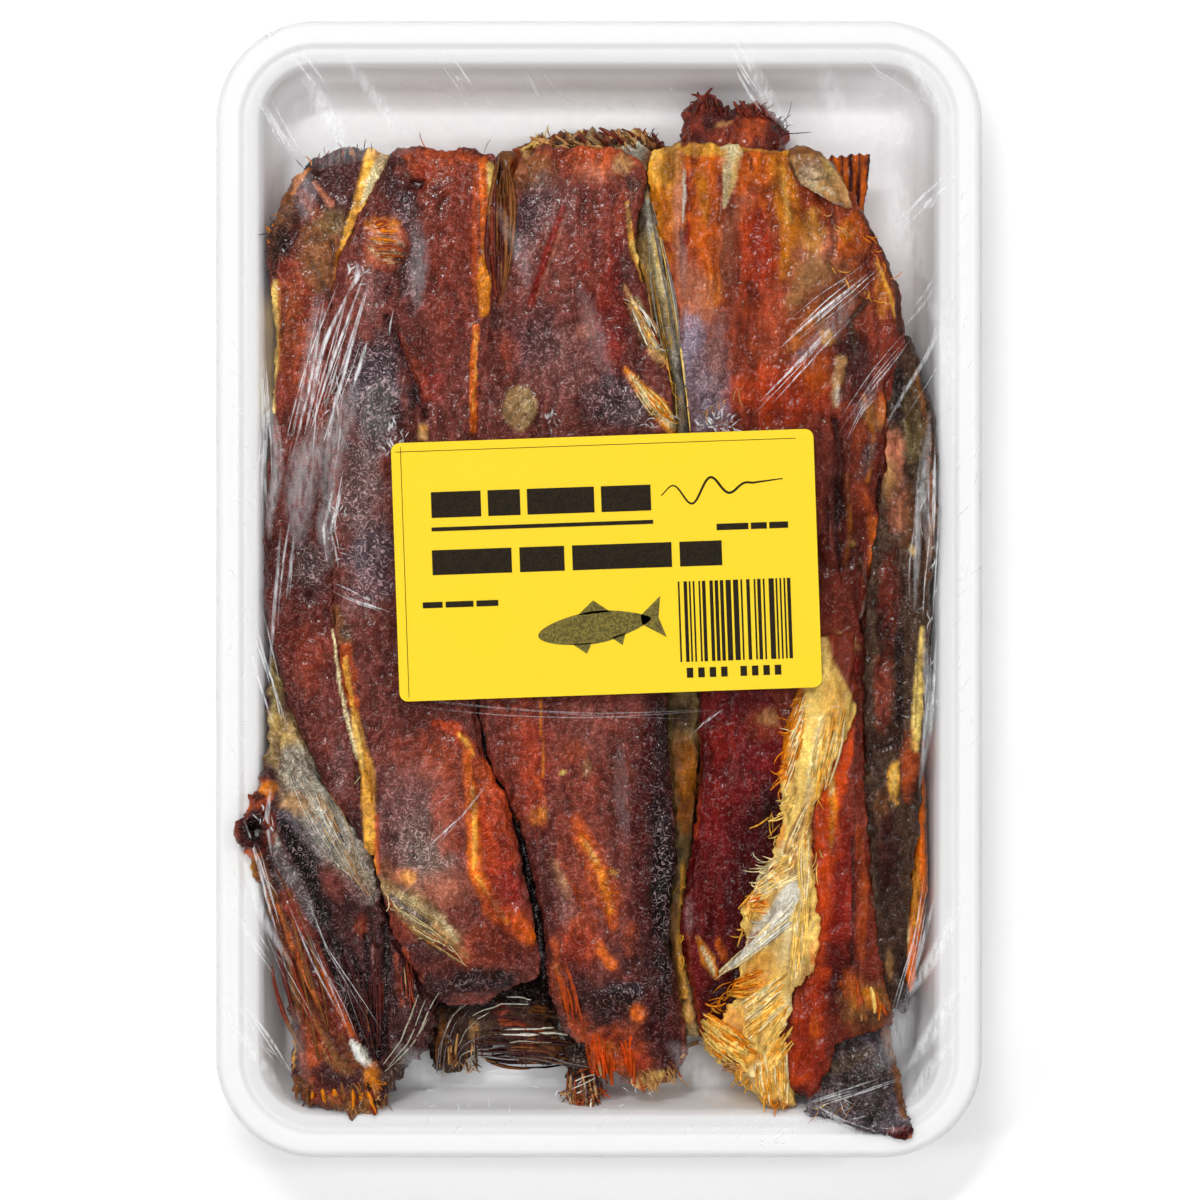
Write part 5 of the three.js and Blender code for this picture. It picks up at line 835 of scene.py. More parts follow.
def dress_fish(node, seed):
    """Works one fish piece: an even mesh, its relief, its rough rim and its shades."""
    base, slot, skin, broad, wrinkle, rim = FISH[node]
    streak, mottle, cut, bright = WORKING[slot]
    mesh = even_copy(node)
    place, normal = places_of(mesh)
    side = 1 - np.abs(normal[:, 2])
    if node in PRESSED:
        place[:, 2] = squared_up(place)
        place += SLAB_SWELL * normal * side[:, None]
        move_to(mesh, place)
        place, normal = places_of(mesh)
    rise = np.clip(normal[:, 2], 0, 1)
    warped = place + 1.4 * np.column_stack([swell(place, 4, seed + k) for k in (31, 32, 33)])
    lumps = 0.6 * swell(place, 8, seed) + 0.4 * swell(place, 3.4, seed + 1)
    lean = math.radians(LEAN.get(node, 0))
    cos, sin = math.cos(lean), math.sin(lean)
    grain = warped @ np.array([[cos, -sin, 0], [sin, cos, 0], [0, 0, 1]])
    folds = ridges(grain, (1.9, 9, 3), seed + 2) - 0.4
    curls = ridges(warped, (1.5, 2.0, 1.7), seed + 3) - 0.4
    pits = swell(place, 1.1, seed + 5)
    rolls = ridges(grain, (5.5, 30, 8), seed + 10) - 0.4
    wandering_grain = grain + 0.8 * swell(place, 5, seed + 13)[:, None]
    crease = cut * (1 - np.abs(swell(wandering_grain, (4.6, 26, 9), seed + 14))) ** 12
    crease = crease * eased(swell(place, 12, seed + 15), -0.5, 0.3)
    height = broad * (lumps + 0.8 * rolls) - 1.1 * crease * rise + wrinkle * (1.2 * folds + 0.8 * curls) + 0.07 * pits
    height += rim * side * (0.6 * swell(place, 2.4, seed + 4) + 0.5 * pits)
    end = np.clip(np.abs(place[:, 1] - SLAB_MIDDLE) - END_FROM, 0, END_LENGTH) / END_LENGTH
    height += 0.9 * end * rim * side * (swell(place, 1.7, seed + 6) + swell(place, 0.9, seed + 7))
    tint = np.tile(linear(base), (len(place), 1))
    for k, row in enumerate(STROKES[node]):
        stroke = stroke_of(*row)
        cover = reach_of(stroke, place, seed + 40 + 2 * k)
        share = (cover * stroke["share"])[:, None]
        tint = tint * (1 - share) + share * linear(stroke["shade"])
        height += cover * stroke["lift"] * rise
    if node == "striped_fin":
        across, down = place[:, 0] - FIN_ROOT[0], FIN_ROOT[1] - place[:, 1]
        wave = np.sin(across * 3.4 + 0.05 * down * across)
        dark = eased(wave + 0.4 * swell(place, (1, 5, 5), seed), 0.1, 0.5)[:, None]
        tint = tint * (1 - dark) + dark * linear("plum")
        height += 0.3 * wave
    shade = 1 + 0.3 * swell(place, (5, 11, 6), seed + 8) + 0.2 * swell(warped, 2.6, seed + 9) + 0.08 * pits
    # painted shade and light: the hollows of the folds and curls darker, their crests lighter
    shade += mottle * (0.6 * folds + 0.4 * curls)
    shade += streak * (swell(grain, (1.3, 16, 5), seed + 11) + 0.7 * swell(grain, (0.8, 7, 4), seed + 12))
    # painted shade: darker down the creases
    shade = np.clip(shade, 0.3, 1.9)[:, None] * (1 - 0.6 * crease)[:, None]
    tint = tint * shade ** np.array([1.0, 1.2, 1.25])  # what is darker is redder too
    move_to(mesh, place + normal * height[:, None])
    # the painted highlights on the wrinkled skin's creases show where it is grey or purple, and hardly where it is
    # orange
    blue = np.clip((tint[:, 2] / np.maximum(tint[:, 0], 0.004) - 0.1) / 0.4, 0.2, 1)
    paint(mesh, tint * bright, skin * blue)
    name = node + ("_piece" if node.endswith("flesh") else "_flesh")
    return put(name, smooth_shaded(mesh), slot, node, FISH_FINISH[slot])


fish = [dress_fish(node, 100 * k) for k, node in enumerate(FISH)]

# ---- how high the fish stands: the highest point in each square of a fine grid ----
GRID = 0.6
GRID_LOW = (-80, -118)
GRID_SHAPE = (int(160 / GRID) + 1, int(236 / GRID) + 1)
crown = np.full(GRID_SHAPE, TRAY_FLOOR)


def raise_crown(piece):
    """Lifts the grid to the piece's highest points."""
    place = places_of(piece.data)[0]
    i = np.clip(((place[:, 0] - GRID_LOW[0]) / GRID).round().astype(int), 0, GRID_SHAPE[0] - 1)
    j = np.clip(((place[:, 1] - GRID_LOW[1]) / GRID).round().astype(int), 0, GRID_SHAPE[1] - 1)
    np.maximum.at(crown, (i, j), place[:, 2])


for piece in fish:
    raise_crown(piece)


def look_up(grid, x, y):
    """The grid's height at a place, in millimetres."""
    i = int(min(max(round((x - GRID_LOW[0]) / GRID), 0), GRID_SHAPE[0] - 1))
    j = int(min(max(round((y - GRID_LOW[1]) / GRID), 0), GRID_SHAPE[1] - 1))
    return float(grid[i, j])


# ---- thin tapering strands: fibres, hairs and the pen line ----
def strand_mesh(lines):
    """One mesh of tapering threads. A line is its points in millimetres and its thickest radius."""
    curve = bpy.data.curves.new("threads", "CURVE")
    curve.dimensions = "3D"
    curve.bevel_depth = MM
    curve.bevel_resolution = 0
    curve.use_fill_caps = True
    for points, radius in lines:
        spline = curve.splines.new("POLY")
        spline.points.add(len(points) - 1)
        for k, (point, at) in enumerate(zip(spline.points, points)):
            point.co = (at[0] * MM, at[1] * MM, at[2] * MM, 1)
            t = k / (len(points) - 1)
            point.radius = radius * (0.25 + 0.75 * math.sin(math.pi * min(max(t, 0.04), 0.96)) ** 0.6)
    rough = bpy.data.objects.new("threads", curve)
    scene.collection.objects.link(rough)
    return applied(rough)


RAYS = [  # the pale rays of the lower fin and of the tail bit
    [(-18.8, -82.9), (-16, -82.9), (-13.7, -83.5)],
    [(-25.7, -86.7), (-23.3, -85.5), (-19.7, -84.3), (-14.3, -84.4)],
    [(-24.8, -87.4), (-22.1, -86), (-17.9, -85.1), (-13.1, -85.8)],
    [(-21.2, -88.1), (-16.7, -87.6), (-13.1, -87.6), (-10.1, -88.1)],
    [(-23.3, -91.8), (-19.1, -90.4), (-14.9, -90), (-10.7, -90.6), (-6.8, -91.4)],
    [(-21.2, -92.7), (-17.9, -92.2), (-14.9, -92), (-9.5, -92.2)],
    [(-23.3, -93.6), (-19.1, -93.3), (-14.9, -93.8), (-11.9, -93.6), (-6.5, -94.5)],
    [(-18.8, -94.5), (-14.9, -94.8), (-9.5, -95.4), (-4.7, -96.6), (-0.4, -97.5)],
    [(-18, -95.4), (-13, -95.6), (-8, -96.6), (-4, -97.8)], [(-15.6, -96.4), (-12, -96.8), (-9.4, -97)],
    [(-30.6, -98.4), (-29, -95.4), (-27.6, -93), (-26, -91.8), (-23.3, -91)],
    [(-29, -97.6), (-28.1, -95.1), (-26.3, -93.9), (-23.3, -93.6)],
    [(-27.8, -97.6), (-27, -95.9), (-25, -94.6), (-22.6, -94.2)],
    [(-26.8, -98), (-25.6, -96.2), (-23.8, -95.6), (-21.6, -94.6)],
    [(-33, -98), (-32.4, -93.3), (-30.6, -87.9), (-27.5, -83.7)],
    [(-31.8, -98), (-31.4, -94), (-29.3, -88.5), (-26.3, -85.5)],
    [(-32.2, -96), (-31.6, -91), (-29.6, -86.4), (-27, -84)], [(-28.6, -93), (-27, -89.6), (-25, -87.6)],
    [(-43.4, -97.6), (-38.4, -93.3), (-36, -89), (-34.2, -84.3), (-32.4, -81.5)],
    [(-42.6, -96.4), (-38.6, -91.8), (-36.6, -87), (-35, -83)],
    [(-43.6, -96), (-40, -91), (-38, -86.4), (-36.6, -82)],
    [(-41, -95.4), (-37.4, -91.6), (-34.4, -86.4), (-32.2, -83)], [(-7, -99.4), (-4, -98.2), (-0.6, -97.9)],
    [(-6.8, -100.6), (-3.4, -99.2), (0, -98.4)], [(-6.6, -101.8), (-3.4, -100.4), (0.6, -98.8)],
    [(-6.4, -103), (-3, -101.6), (0.4, -99.8)], [(-6, -104.2), (-2.6, -103), (0, -101)],
    [(-5.4, -105.2), (-3, -104.6), (-1, -103.4)],
]
# Fibres and hairs that stick out of the torn edges: shade, where their roots run from and to, how many,
# the way they point in degrees (0 is right and 90 up the pack), their length and their thickness.
FIBRES = [
    ("amber", (41, -22), (37, -40), 30, 213, 3.4, 0.18), ("straw", (40, -40), (36, -50), 22, 222, 3.6, 0.17),
    ("gold", (35, -45), (34.4, -47), 4, 250, 4, 0.2), ("cream", (36, -54), (31, -61), 18, 214, 4, 0.17),
    ("gold", (32, -60), (29, -70), 8, 222, 4, 0.2), ("ivory", (35, -66), (28, -75), 9, 226, 3, 0.2),
    ("amber", (31, -75), (24, -85), 12, 218, 3.6, 0.22), ("gold", (24, -86), (24, -93), 18, 190, 2.8, 0.22),
    ("gold", (26, -95), (34, -103), 14, 246, 3, 0.22), ("amber", (34, -103), (38, -104), 12, 268, 2.6, 0.18),
    ("gold", (46, -30), (44, -44), 12, 262, 5, 0.14), ("straw", (44, -52), (42, -74), 16, 258, 5, 0.14),
    ("rust", (-4, -98), (12, -100), 12, 262, 2.4, 0.18), ("tan", (9, -98), (17, -98), 12, 290, 3.4, 0.16),
    ("amber", (-4, -97), (8, -100), 6, 262, 2.4, 0.16), ("tobacco", (-61, -103), (-43, -103), 14, 262, 2.6, 0.18),
    ("tan", (-50, -104), (-42, -102), 16, 282, 3, 0.12), ("amber", (-49, -100), (-44, -99), 8, 300, 2.4, 0.12),
    ("bark", (-34, -95), (-24, -96), 9, 262, 3.2, 0.18), ("tobacco", (-24, -94), (-9, -95), 9, 268, 3, 0.16),
    ("tan", (-30, -96), (-25, -96), 10, 285, 3.2, 0.12), ("tobacco", (-7, -102), (-1, -103), 18, 254, 3.4, 0.22),
    ("rust", (-3, -103), (1, -101), 8, 290, 3.6, 0.22), ("tan", (-6, -103), (-2, -104), 8, 248, 2.6, 0.14),
    ("bark", (-61, 86.6), (-45, 88.6), 10, 96, 2.8, 0.1), ("amber", (-60, 85), (-47, 88), 8, 104, 2.0, 0.16),
    ("mahogany", (-58, 86), (-46, 88), 10, 84, 2.2, 0.18), ("rust", (-42, 87.6), (-22, 87), 8, 92, 1.5, 0.14),
    ("soot", (-34.5, 88), (-34.3, 88), 1, 112, 5, 0.09), ("soot", (-23.8, 88), (-23.4, 88), 1, 92, 5, 0.09),
    ("tan", (-19, 91), (13, 92.6), 7, 98, 2.4, 0.14), ("straw", (-14, 91), (-8, 92), 8, 104, 2.6, 0.13),
    ("redbrown", (-19, 91), (12, 92), 5, 80, 2.2, 0.18), ("soot", (35, 95), (37, 92), 8, 24, 5, 0.09),
    ("mahogany", (18, 97), (37, 96), 12, 88, 2.4, 0.22), ("redbrown", (19.6, 98), (21.6, 99), 7, 96, 3.4, 0.3),
    ("redbrown", (31, 96), (34, 97), 7, 76, 3.4, 0.28), ("bark", (-66, 74), (-65, 64), 18, 192, 2.2, 0.16),
    ("amber", (-65, 80), (-66, 70), 10, 150, 2, 0.14), ("gold", (46, 66), (58, 57), 8, 300, 3, 0.13),
    ("amber", (52, 74), (59, 62), 10, 320, 2.4, 0.14), ("tan", (42, 78), (52, 70), 6, 310, 3, 0.12),
    ("tan", (44, -103), (52, -105), 5, 232, 4.4, 0.09), ("cream", (-44, -61), (-31, -71), 8, 318, 2.6, 0.13),
    ("olive", (-43, -63), (-32, -72), 6, 300, 2.6, 0.12), ("orange", (-4, -48), (3, -66), 10, 300, 3.2, 0.13),
    ("rust", (-8, -54), (0, -70), 10, 300, 3.4, 0.14), ("gold", (12, 60), (15, 38), 14, 280, 4, 0.13),
    ("ivory", (5, 59), (12, 48), 12, 305, 4, 0.14), ("straw", (6, 43), (14, 34), 12, 308, 4, 0.14),
    ("tan", (20, 35), (28, 40), 14, 250, 3, 0.13), ("orange", (-50, -20), (-46, -50), 2, 268, 3, 0.14),
    ("gold", (16.6, -58), (17.4, -84), 16, 268, 3, 0.13), ("cream", (-24.6, -34), (-25.4, -56), 1, 264, 4, 0.1),
    ("silver", (-62, -38), (-50, -58), 6, 300, 3.4, 0.12), ("ivory", (-60, -40), (-52, -54), 3, 310, 3, 0.1),
]
JOINTS = 7  # points along each fibre
LOWEST_FIBRE = 4.4


# Fans of torn shreds that lie on the flesh: shades, the root line's ends, the tip line's ends, how many,
# their radius and how high they arch.
FANS = [
    # the torn pale flesh, from the top down
    (("cream", "straw", "gold"), (47, -19), (50, -24), (42.4, -40), (45, -44), 30, 0.28, 0.4),
    (("amber", "gold", "cream"), (42, -19), (41, -32), (38, -30), (37, -43), 36, 0.25, 0.4),
    (("cream", "straw", "tan"), (42.4, -40), (43, -50), (37, -53), (37, -60), 36, 0.25, 0.4),
    (("cream", "straw"), (40, -52), (41, -58), (35, -55), (34, -61), 18, 0.24, 0.5),
    (("cream", "straw"), (37, -55), (36, -61), (32, -59), (31, -64), 22, 0.26, 0.4),
    (("amber", "gold", "orange"), (34.6, -59), (34, -66), (31, -61), (29.4, -65), 16, 0.3, 0.5),
    (("straw", "cream", "gold"), (40, -44), (42, -46), (40.4, -62), (42, -64), 18, 0.25, 0.4),
    (("straw", "straw", "cream"), (40, -60), (42.4, -60), (38.4, -80), (40.6, -78), 26, 0.26, 0.5),
    (("ivory", "ivory", "cream"), (40.6, -60), (40, -67), (25.6, -77), (24.4, -78.2), 60, 0.26, 1.0),
    (("tan", "cream", "straw"), (31, -71), (30, -75), (24.4, -77.2), (24, -78.4), 14, 0.22, 0.7),
    (("amber", "gold", "orange"), (33.4, -76), (33, -82), (27.4, -78.8), (26, -82), 30, 0.32, 0.7),
    (("cream", "straw", "gold"), (38, -76), (39, -84), (28, -84), (29, -92), 50, 0.26, 0.5),
    (("straw", "gold"), (39, -82), (39.4, -92), (33, -90), (34, -98), 34, 0.26, 0.4),
    (("gold", "straw", "straw", "amber"), (32.6, -92.4), (30, -97.6), (21.6, -85.6), (20.6, -90.4), 50, 0.38, 1.2),
    (("straw", "gold", "cream"), (31, -94), (38, -92), (32.6, -104), (38, -104), 44, 0.28, 0.4),
    (("tan", "tobacco"), (29, -95), (30, -98), (23.4, -94.4), (25, -97.6), 16, 0.25, 0.3),
    (("cream", "tan"), (22.4, -91.4), (22.6, -92.6), (15.6, -95), (14.6, -95.6), 3, 0.17, 1.0),
    # the peeled patch and the fat at the middle slabs' lower ends
    (("brick", "rust", "amber"), (-47, 73.6), (-46.8, 70.4), (-42, 75.2), (-38.8, 69.6), 12, 0.26, 0.15),
    (("salmon", "rust", "tan"), (-47, 70), (-45, 65.6), (-39.2, 69), (-39.8, 65.4), 18, 0.18, 0.2),
    (("cream", "sand", "tan"), (-44, -58.6), (-42, -66), (-31, -67), (-27, -76), 22, 0.13, 0.1),
    (("redbrown", "brick"), (-40, -73), (-38, -73), (-38.4, -86), (-36.4, -86), 7, 0.3, 0.1),
    (("rust", "ember", "rust"), (-3, -88.6), (7, -89.6), (-1, -100), (9, -101.6), 22, 0.5, 0.1),
    (("tan", "tobacco"), (7, -97), (15, -95), (9.6, -101.8), (17, -99.4), 18, 0.26, 0.2),
    (("rust", "brick"), (-10, -74), (-7, -73), (-6, -90), (-2.4, -89), 10, 0.4, 0.1),
    # the folded slab
    (("tobacco", "mahogany", "redbrown"), (-68, -56), (-63.6, -54), (-59.4, -98), (-49.6, -97), 9, 0.45, 0.0),
    (("ivory", "silver", "tan"), (-64, -34), (-57, -37), (-51, -57), (-46, -62), 34, 0.12, 0.05),
    (("redbrown", "tobacco", "mahogany", "amber"), (-61, -99), (-46, -99), (-61, -104.6), (-43.6, -106), 20, 0.55,
     0.1),
    (("plum", "soot", "mahogany"), (-52, -72), (-43, -68), (-46.6, -95), (-43.6, -94), 20, 0.3, 0.1),
    # the lower fin and the tail bit
    (("bark", "tobacco", "plum"), (-28, -86), (-25, -96), (-7, -86), (-2, -97), 40, 0.34, 0.1),
    (("tobacco", "bark", "tan"), (-33, -90), (-24.6, -90), (-32.6, -98.8), (-24.6, -98.8), 14, 0.28, 0.1),
    (("tobacco", "rust", "plum", "tan"), (-6.8, -97), (0, -97.4), (-6.4, -105), (1.2, -105.8), 30, 0.3, 0.3),
    # ragged top edges
    (("tan", "redbrown", "tobacco"), (-18, 88.8), (13, 90.4), (-12, 93), (4, 95), 30, 0.45, 0.2),
    (("tobacco", "tan", "bark"), (-6, 89), (14, 89), (-14, 92), (13, 93.6), 30, 0.4, 0.2),
    (("mahogany", "redbrown"), (18.6, 96), (36, 95), (20, 101), (33, 99), 26, 0.5, 0.2),
    (("redbrown", "tobacco", "mahogany"), (-21, 88), (-18.4, 88), (-20.6, 57), (-19.4, 57), 34, 0.55, 2.4),
    (("plum", "mahogany", "soot"), (-61, 84), (-46, 86), (-58, 87.6), (-48, 89.6), 22, 0.42, 0.1),
    # the strip and the torn bits beside it, and the slivers at the right
    (("tan", "olive", "ivory", "straw"), (5.6, 60), (8, 57), (10.6, 47.4), (13.6, 48), 16, 0.28, 0.3),
    (("amber", "cream", "straw"), (5.6, 43.6), (8, 42), (12.6, 32.6), (16, 33.4), 22, 0.28, 0.3),
    (("silver", "pewter", "straw"), (8.2, 80), (10.4, 80), (15.8, 33), (18.4, 34), 12, 0.22, 0.05),
    (("amber", "tobacco", "rust"), (50, -79), (57, -79), (51, -88), (59, -87), 9, 0.5, 0.3),
]


def between(a, b, t):
    """The point that share of the way from a to b."""
    return a[0] + (b[0] - a[0]) * t, a[1] + (b[1] - a[1]) * t


def fibre_lines():
    """The lines of the rays, shreds and fibres, each with its thickest radius, and a shade for each."""
    lines, shades = [], []
    for ray in RAYS:
        line = []
        for k in range(JOINTS):
            t = k / (JOINTS - 1) * (len(ray) - 1)
            first = min(int(t), len(ray) - 2)
            x, y = between(ray[first], ray[first + 1], t - first)
            x, y = x + draw.uniform(-0.12, 0.12), y + draw.uniform(-0.12, 0.12)
            line.append((x, y, look_up(crown, x, y) + 0.2))
        top = max(z for _, _, z in line)
        lines.append(([(x, y, max(z, top - 2.4)) for x, y, z in line], draw.uniform(0.12, 0.19)))
        shades.append(linear(draw.choice(("ivory", "silver", "pewter"))))
    for names, root_a, root_b, tip_a, tip_b, count, radius, arch in FANS:
        for _ in range(count):
            u = draw.random()
            root = between(root_a, root_b, u)
            tip = between(tip_a, tip_b, min(max(u + draw.gauss(0, 0.09), 0), 1))
            first, last = draw.uniform(0, 0.45), draw.uniform(0.6, 1.08)
            sway = draw.gauss(0, 0.035) * math.dist(root, tip)
            held = min(look_up(crown, *between(root, tip, t)) for t in (first, 0.5 * (first + last)))
            line = []
            for k in range(JOINTS):
                t = first + (last - first) * k / (JOINTS - 1)
                x, y = between(root, tip, t)
                x += sway * math.sin(math.pi * t) + draw.uniform(-0.08, 0.08)
                y += sway * math.sin(math.pi * t) + draw.uniform(-0.08, 0.08)
                lowest = held - 2.5 * max(t - 0.75, 0) * 4 * (arch > 0.25)
                rise = arch * math.sin(math.pi * t) * draw.uniform(0.3, 1)
                line.append((x, y, max(look_up(crown, x, y), lowest) + rise - 0.4 * radius))
            lines.append((line, radius * draw.uniform(0.5, 1.25)))
            strength = draw.uniform(0.8, 1.15)
            shades.append([strength * part for part in linear(draw.choice(names))])
    for shade, start, end, count, way, length, thick in FIBRES:
        for _ in range(count):
            x, y = between(start, end, draw.random())
            x, y = x + draw.uniform(-0.6, 0.6), y + draw.uniform(-0.6, 0.6)
            angle = math.radians(way + draw.gauss(0, 22))
            bend = draw.gauss(0, 0.2)
            step = length * draw.uniform(0.3, 1.3) / (JOINTS - 1)
            z = look_up(crown, x, y)
            line = []
            for k in range(JOINTS):
                line.append((x, y, z + 0.05))
                x += step * math.cos(angle)
                y += step * math.sin(angle)
                z = max(z - 0.3 * step, min(look_up(crown, x, y), z + 0.5 * step))
                angle += bend
            lines.append((line, thick * draw.uniform(0.6, 1.2)))
            strength = draw.uniform(0.55, 1.25)
            shades.append([strength * part for part in linear(shade)])
    return lines, shades


def fibre_piece():
    """All the fibres as one piece. A thread takes the shade of the line whose middle it lies nearest."""
    lines, shades = fibre_lines()
    mesh = strand_mesh(lines)
    each = len(mesh.vertices) // len(lines)
    assert each * len(lines) == len(mesh.vertices)
    place, _ = places_of(mesh)
    middles = np.array([np.mean(line, axis=0) for line, _ in lines])[:, :2]
    made = place.reshape(len(lines), each, 3)[:, :, :2].mean(axis=1)
    nearest = np.array([np.argmin(((middles - at) ** 2).sum(axis=1)) for at in made])
    paint(mesh, np.repeat(np.array(shades)[nearest], each, axis=0), np.zeros(len(mesh.vertices)))
    place[:, 2] = np.clip(place[:, 2], LOWEST_FIBRE, STICKER_FLAT - 0.4)
    move_to(mesh, place)
    return put("torn_fibres", smooth_shaded(mesh), "amber_flesh", material=FISH_FINISH["amber_flesh"])


raise_crown(fibre_piece())

# ---- tray ----
# Its section from the middle of its underside, out round the rim and in to its floor:
# distance in from the outer edge, height, and how far that corner is rounded.
TRAY_SECTION = [
    (30, 0.8, 0), (21, 0.8, 0.3), (19.4, 0.05, 0.5), (10.8, 0.05, 0.8), (9, 1.6, 0.8), (4.5, 19.5, 1),
    (1.2, 20.4, 0.5), (0, 21.4, 0.6), (0, 23.1, 0.6), (0.9, 23.95, 0.5), (4.2, 23.95, 0.4), (5.3, 22.9, 0.4),
    (6.6, 23.3, 0.5), (8.1, 23.1, 0.5), (9.2, 21.4, 0.6), (12.8, 6.4, 1.6), (15.9, 4.2, 1.6), (30, 4.2, 0),
]
ROUND_STEPS = 64


def rounded_ring(bm, inset, height):
    """A ring of vertices round the tray, moved in by inset: a circle pulled apart into four corners."""
    radius = max(TRAY_CORNER - inset, 1.5)
    made = bmesh.ops.create_circle(bm, segments=ROUND_STEPS, radius=radius * MM)["verts"]
    bmesh.ops.rotate(bm, verts=made, cent=(0, 0, 0), matrix=Matrix.Rotation(math.pi / ROUND_STEPS, 3, "Z"))
    for v in made:
        v.co.x += math.copysign(TRAY_WIDTH / 2 - inset - radius, v.co.x) * MM
        v.co.y += math.copysign(TRAY_LENGTH / 2 - inset - radius, v.co.y) * MM
        v.co.z = height * MM
    return made


def ring_edges(ring):
    """The edges that join the ring's vertices."""
    kept = set(ring)
    return list({e for v in ring for e in v.link_edges if e.other_vert(v) in kept})


def tray_mesh():
    """The tray as one closed shell: rings joined along its section, with their corners rounded."""
    bm = bmesh.new()
    rings = [rounded_ring(bm, inset, height) for inset, height, _ in TRAY_SECTION]
    loops = [ring_edges(ring) for ring in rings]
    for lower, upper in zip(loops, loops[1:]):
        bmesh.ops.bridge_loops(bm, edges=lower + upper)
    for (_, _, rounding), ring in zip(TRAY_SECTION, rings):
        if rounding:
            edges = ring_edges([v for v in ring if v.is_valid])
            bmesh.ops.bevel(bm, geom=edges, offset=rounding * MM, affect="EDGES", segments=3, profile=0.5,
                            material=-1)
    bmesh.ops.holes_fill(bm, edges=[e for e in bm.edges if e.is_boundary], sides=0)
    bmesh.ops.recalc_face_normals(bm, faces=bm.faces)
    return smooth_shaded(mesh_from(bm, "foam_tray"))


def foam_material():
    """White foam with fine beads, and painted shade: a little greyer on the rim and greyer still on the lip inside
    it.
    """
    w = Weave("white_foam")
    beads = w.noise(1.6, 1, 0.6)
    soft = w.noise(14, 1)
    colour = w.blend(w.span(beads, 0.3, 0.7), linear((253, 253, 254)), linear((249, 249, 251)))
    colour = w.blend(w.span(soft, 0.3, 0.7, 0, 0.3), colour, linear((249, 249, 251)))
    # how far in from the outer edge: painted shade, the lip inside the flat rim greyer than the rim, and both greyer
    # than the well
    out, corner = w.place, TRAY_CORNER * MM
    middle = (TRAY_WIDTH / 2 * MM - corner, TRAY_LENGTH / 2 * MM - corner, 1)
    for operation, other in (("ABSOLUTE", None), ("SUBTRACT", middle), ("MAXIMUM", (0, 0, 0)), ("LENGTH", None)):
        step = w.add("ShaderNodeVectorMath", operation=operation)
        w.feed(step.inputs[0], out)
        if other:
            w.feed(step.inputs[1], other)
        out = step.outputs["Value" if operation == "LENGTH" else "Vector"]
    inset = w.math("SUBTRACT", corner, out)
    rise = w.add("ShaderNodeSeparateXYZ")
    w.feed(rise.inputs[0], w.place)
    lip = w.blend(w.span(inset, 3.6 * MM, 6.6 * MM), linear((242, 242, 242)), linear((226, 225, 226)))
    colour = w.blend(w.span(rise.outputs["Z"], 12 * MM, 21 * MM), colour, lip)
    dull = w.span(beads, 0.3, 0.7, 0.42, 0.6)
    return w.surface(colour, w.bump(beads, 0.04), Roughness=dull, Specular_IOR_Level=0.4)


put("foam_tray", tray_mesh(), "foam", "tray", foam_material())


# ---- stretch film ----
FILM_EDGE, FILM_EDGE_HEIGHT = 0.35, 23.3  # how far the film stands out from the rim, and where it turns down
FILM_CLEARANCE, RIM_CLEARANCE = 0.3, 0.15  # how far it stays above the fish and above the rim
FILM_SKIRT = [(-0.35, 21.3), (1.2, 20.2), (4.2, 19.2), (8.6, 1.7)]  # inset and height, down the tray's side
STICKER_BOX = (-45, -27, 56, 38.5)  # where the film is flat: its left, lower, right and upper edges
TAUT_STEPS, TAUT_ROUNDS = (12, 6, 3, 1), 260  # the film is pulled taut on coarse squares first
FILM_CLEARNESS, FILM_GLOSS, FILM_ROUGHNESS = 0.985, 0.42, 0.13
FILM_SLACK = ((0.1, 6), (0.07, 2.5))  # height and size of its soft waves


def corner_pulled(x, y, half_x, half_y, radius):
    """Pulls a rectangle's corner in to a round one, and gives the way out from there."""
    ox, oy = abs(x) - (half_x - radius), abs(y) - (half_y - radius)
    if ox <= 0 or oy <= 0:
        return x, y, ((math.copysign(1, x), 0) if ox > oy else (0, math.copysign(1, y)))
    far = max(ox, oy) / math.hypot(ox, oy)
    ox, oy = ox * far, oy * far
    length = math.hypot(ox, oy)
    way = (math.copysign(ox / length, x), math.copysign(oy / length, y))
    return math.copysign(half_x - radius + ox, x), math.copysign(half_y - radius + oy, y), way


